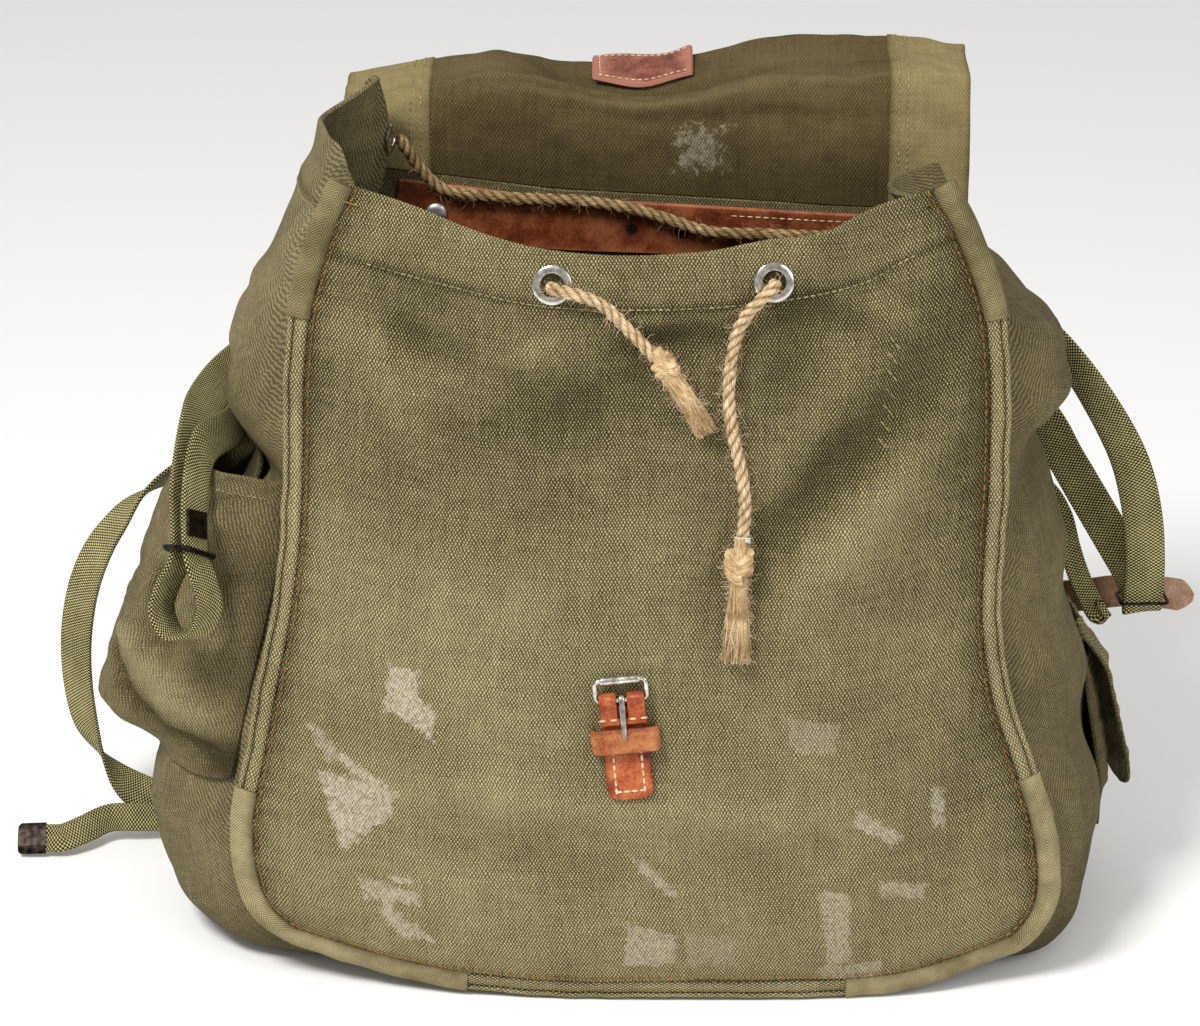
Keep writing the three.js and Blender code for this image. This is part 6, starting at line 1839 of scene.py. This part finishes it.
# %% Running a tree
def apply_tree(carrier, name, tree, sizes):
    """Runs a tree on a piece with the given named inputs, and keeps its result as a plain mesh."""
    modifier = carrier.modifiers.new(tree.name, "NODES")
    modifier.node_group = tree
    for socket in tree.interface.items_tree:
        if socket.in_out == "INPUT" and socket.name in sizes:
            modifier[socket.identifier] = sizes[socket.name]
    graph = bpy.context.evaluated_depsgraph_get()
    made = add_object(name, bpy.data.meshes.new_from_object(carrier.evaluated_get(graph)))
    carrier.modifiers.remove(modifier)
    bpy.data.objects.remove(carrier)
    return made


def sewn_rows(name, rows, stitch, colour, slot):
    points = np.concatenate(rows) * MM
    starts = np.cumsum([0] + [len(row) for row in rows])
    edges = [(k, k + 1) for a, b in zip(starts[:-1], starts[1:]) for k in range(a, b - 1)]
    mesh = bpy.data.meshes.new(name + "_line")
    mesh.from_pydata(points.tolist(), edges, [])
    sizes = {key: value * MM for key, value in zip(("Pitch", "Length", "Thread"), STITCHES[stitch])}
    carrier = add_object(name + "_line", mesh)
    piece = trim(apply_tree(carrier, name, SEWN_ROW, {**sizes, "Colour": colour}), slot)
    print(name, "faces:", len(piece.data.polygons))


def surface_row(surface, u, v, lift):
    u, v = np.broadcast_arrays(np.asarray(u, float), np.asarray(v, float))
    return evenly(lifted(surface, lift)(u, v), 1.0)


def front_row(places, lift):
    return evenly(np.array([off_front(x, z, lift) for x, z in places]), 1.0)


print("a sewn row's sockets:", [item.name for item in SEWN_ROW.interface.items_tree])

# %% [markdown]
# The rows that show on the cloth: orange thread in the front seam and olive thread in the hems. They lie on
# the same wrinkled surfaces as the cloth, so they follow its folds.

# %% Sewn rows
STITCHES = {  # pitch, length and thread in mm
    "seam": (4.6, 3.5, 0.9), "hem": (3.4, 2.6, 0.75), "fine": (3.4, 2.6, 0.7), "tab": (3.2, 2.5, 0.7),
    "band": (4.0, 3.0, 0.7), "buckle": (3.7, 3.4, 1.3), "darn": (3.0, 3.4, 0.8), "bar": (3.0, 3.4, 0.9),
}
share = np.linspace(0, 1, 90)
sewn_rows("seam_stitches", [rim_place - rim_width * 2.4 + rim_out * 0.9], "seam", ORANGE_THREAD, "canvas")
hem_row = front_row([(x, float(read(HEM, "z", x, "x"))) for x in np.linspace(-132, 122, 70)], 1.2)
sewn_rows("hem_stitches", [hem_row], "hem", PALE_THREAD, "canvas")
side_rows = [surface_row(gusset_cloth(rows, sign, seed), np.linspace(0.03, 0.97, 90),
                         SIDE_HEM["stitches"] / TOP_ROW, 0.2) for _, rows, sign, seed, _ in GUSSETS]
sewn_rows("side_hem_stitches", side_rows, "hem", PALE_THREAD, "dark_canvas")
pocket_rows = [surface_row(wrinkled(surface, *wrinkles), share * 0.9 + 0.05, 0.925, 0.3)
               for node, surface, wrinkles, *_ in POCKETS if not node.endswith("flap")]
sewn_rows("pocket_stitches", pocket_rows, "fine", PALE_THREAD, "dark_canvas")
lid_rows = [surface_row(lid_cloth(left, right, STRIP_LIFT), at, share, 0.3)
            for (_, left, right), inner in zip(LID_STRIPS, (0.9, 0.1))
            for at in (inner, 0.5 + (inner - 0.5) * 0.72)]
sewn_rows("lid_stitches", lid_rows, "fine", PALE_THREAD, "tape")

# %% [markdown]
# Leather is sewn with cream waxed thread, which stays pale. Mustard bars lock the corners of the mouth, and a
# darn on the right of the front is a few loose stitches in a column.

# %% Rows in the leather, bars and darn
tab_rows = [surface_row(tab, 0.06 + 0.88 * share, at, 0.2) for at in (0.12, 0.9)]
tab_rows.append(surface_row(tab, 0.06, 0.12 + 0.78 * share, 0.2))
sewn_rows("tab_stitches", tab_rows, "tab", CREAM_THREAD, "tab_leather")
band_row = surface_row(lambda u, v: band(u, v, LEATHER + 0.2), 0.02 + 0.3 * share, 0.86, 0.0)
sewn_rows("band_stitches", [band_row], "band", CREAM_THREAD, "band_leather")

hide_z = back_z + BUCKLE["leather"] / 2 + 0.15
u_rows = [[(x, -26, hide_z), (x, -45.5, hide_z)] for x in (-6.8, 6.8)]
u_rows.append([(-5.6, -46, hide_z), (5.6, -46, hide_z)])
end_z = float(chape_path[-1][2]) + BUCKLE["leather"] / 2 + 0.1
cross_rows = [[(x, FRONT_END + 2.5, end_z), (x + 5.5, FRONT_END + 2.5, end_z)] for x in (-10, 4.5)]
buckle_rows = [evenly(from_buckle(row), 0.5) for row in (*u_rows, *cross_rows)]
sewn_rows("buckle_stitches", buckle_rows, "buckle", CREAM_THREAD, "buckle_leather")
DARN = ((113, 331), (112, 324), (112, 316), (111, 308), (110, 300), (109, 292), (108, 284))
darn = [front_row([(x, z), (x + 2.5, z - 3)], 0.8) for x, z in DARN]
sewn_rows("darn_stitches", darn, "darn", PALE_THREAD, "canvas")
bars = [front_row([(x, z), (x + turn * 4, z - 1.5)], 1.6) for x, turn in ((-141.5, 1), (132.5, -1))
        for z in np.arange(398.5, 392, -1.3)]
sewn_rows("corner_bars", bars, "bar", MUSTARD_THREAD, "canvas")

# %% [markdown]
# Jute sheds loose hairs. A second tree scatters short bent hairs over the twine, each leaning its own way and
# of its own length, with a fixed seed. They are three sided tubes, thin enough that three sides look round.

# %% Jute hairs
def fuzz_tree():
    tree, node, given = new_tree("loose_hairs", {
        "Density": "Float", "Hair length": "Float", "Hair radius": "Float", "Seed": "Int",
        "Fibre": "Material"})
    places = node("GeometryNodeDistributePointsOnFaces", {
        "Mesh": given["Geometry"], "Density": given["Density"], "Seed": given["Seed"]}, None).outputs
    tip = node("CombineXYZ", {2: given["Hair length"]})
    side = node("Math", {0: given["Hair length"], 1: 0.45}, operation="MULTIPLY")
    bent = node("CombineXYZ", {0: side, 2: side})
    line = node("GeometryNodeCurveQuadraticBezier", {
        "Resolution": 4, "Start": (0, 0, 0), "Middle": bent, "End": tip})
    profile = node("GeometryNodeCurvePrimitiveCircle", {"Resolution": 3, "Radius": given["Hair radius"]})
    hair = node("GeometryNodeCurveToMesh", {"Curve": line, "Profile Curve": profile, "Fill Caps": True})
    lean = node("FunctionNodeRandomValue", {
        "Min": (-1.2, -1.2, -3.1), "Max": (1.2, 1.2, 3.1), "Seed": given["Seed"]}, "Value",
        data_type="FLOAT_VECTOR")
    tilt = node("FunctionNodeRotateRotation", {
        "Rotation": places["Rotation"], "Rotate By": lean}, rotation_space="LOCAL")
    size = node("FunctionNodeRandomValue", {
        "Min": 0.3, "Max": 1.2, "Seed": given["Seed"]}, "Value", data_type="FLOAT")
    grown = node("GeometryNodeInstanceOnPoints", {
        "Points": places["Points"], "Instance": hair, "Rotation": tilt, "Scale": size})
    real = node("GeometryNodeRealizeInstances", {"Geometry": grown})
    coloured = node("GeometryNodeSetMaterial", {"Geometry": real, "Material": given["Fibre"]})
    node("NodeGroupOutput", {"Geometry": coloured}, None)
    return tree


HAIR = {"length": 5.0, "radius": 0.085}  # mm
LOOSE_HAIRS = fuzz_tree()
for name, parent, density, seed in (
    ("left_cord_hairs", cord_left, 260000, 1), ("right_cord_hairs", cord_right, 260000, 2),
    ("inside_cord_hairs", cord_inside, 90000, 3), ("left_knot_hairs", left_tassel, 70000, 4),
    ("right_knot_hairs", right_tassel, 70000, 5),
):
    carrier = add_object(name + "_skin", parent.data.copy())
    sizes = {"Density": density, "Hair length": HAIR["length"] * MM, "Hair radius": HAIR["radius"] * MM,
             "Seed": seed, "Fibre": JUTE}
    hairs = trim(apply_tree(carrier, name, LOOSE_HAIRS, sizes), "jute")
    print(name, "faces:", len(hairs.data.polygons))

# %% [markdown]
# The bag stands on a plain pale floor in soft studio light: one large key light above, in front and to the
# left, a weaker fill from the right, and a surround that is bright above and dimmer near the horizon, so that
# metal has something to reflect.

# %% Floor and light
FLOOR_HALF = 6.0
floor_mesh = bpy.data.meshes.new("floor")
floor_corners = [(x * FLOOR_HALF, y * FLOOR_HALF, 0) for x, y in ((-1, -1), (1, -1), (1, 1), (-1, 1))]
floor_mesh.from_pydata(floor_corners, [], [(0, 1, 2, 3)])
floor = add_object("floor", floor_mesh)
floor_material, _, floor_shader = new_material("pale_paper", 0.95, 0.2)
floor_shader.inputs["Base Color"].default_value = linear("#f4f3f1")
floor_mesh.materials.append(floor_material)

world = bpy.data.worlds.new("studio")
world.use_nodes = True
sky = partial(add_node, world.node_tree)
height = sky("SeparateXYZ", {0: sky("TexCoord", output="Generated")}, 2)
glow = sky("ValToRGB", {"Fac": height}, stops=((0.0, "#cfcfcf"), (0.35, "#ffffff")))
background = world.node_tree.nodes["Background"]
join(glow, background, "Color")
background.inputs["Strength"].default_value = 0.65
bpy.context.scene.world = world


def area_light(name, place, size, power):
    light = bpy.data.lights.new(name, "AREA")
    light.shape, light.size, light.energy = "DISK", size, power
    lamp = add_object(name, light)
    lamp.location = place
    lamp.rotation_euler = (Vector((0, 0, 0.2)) - Vector(place)).to_track_quat("-Z", "Y").to_euler()


area_light("key_light", (-0.9, -1.2, 2.0), 0.7, 50)
area_light("fill_light", (1.6, -1.2, 1.2), 1.4, 14)
bpy.context.scene.view_settings.view_transform = "Standard"
print("lights placed")
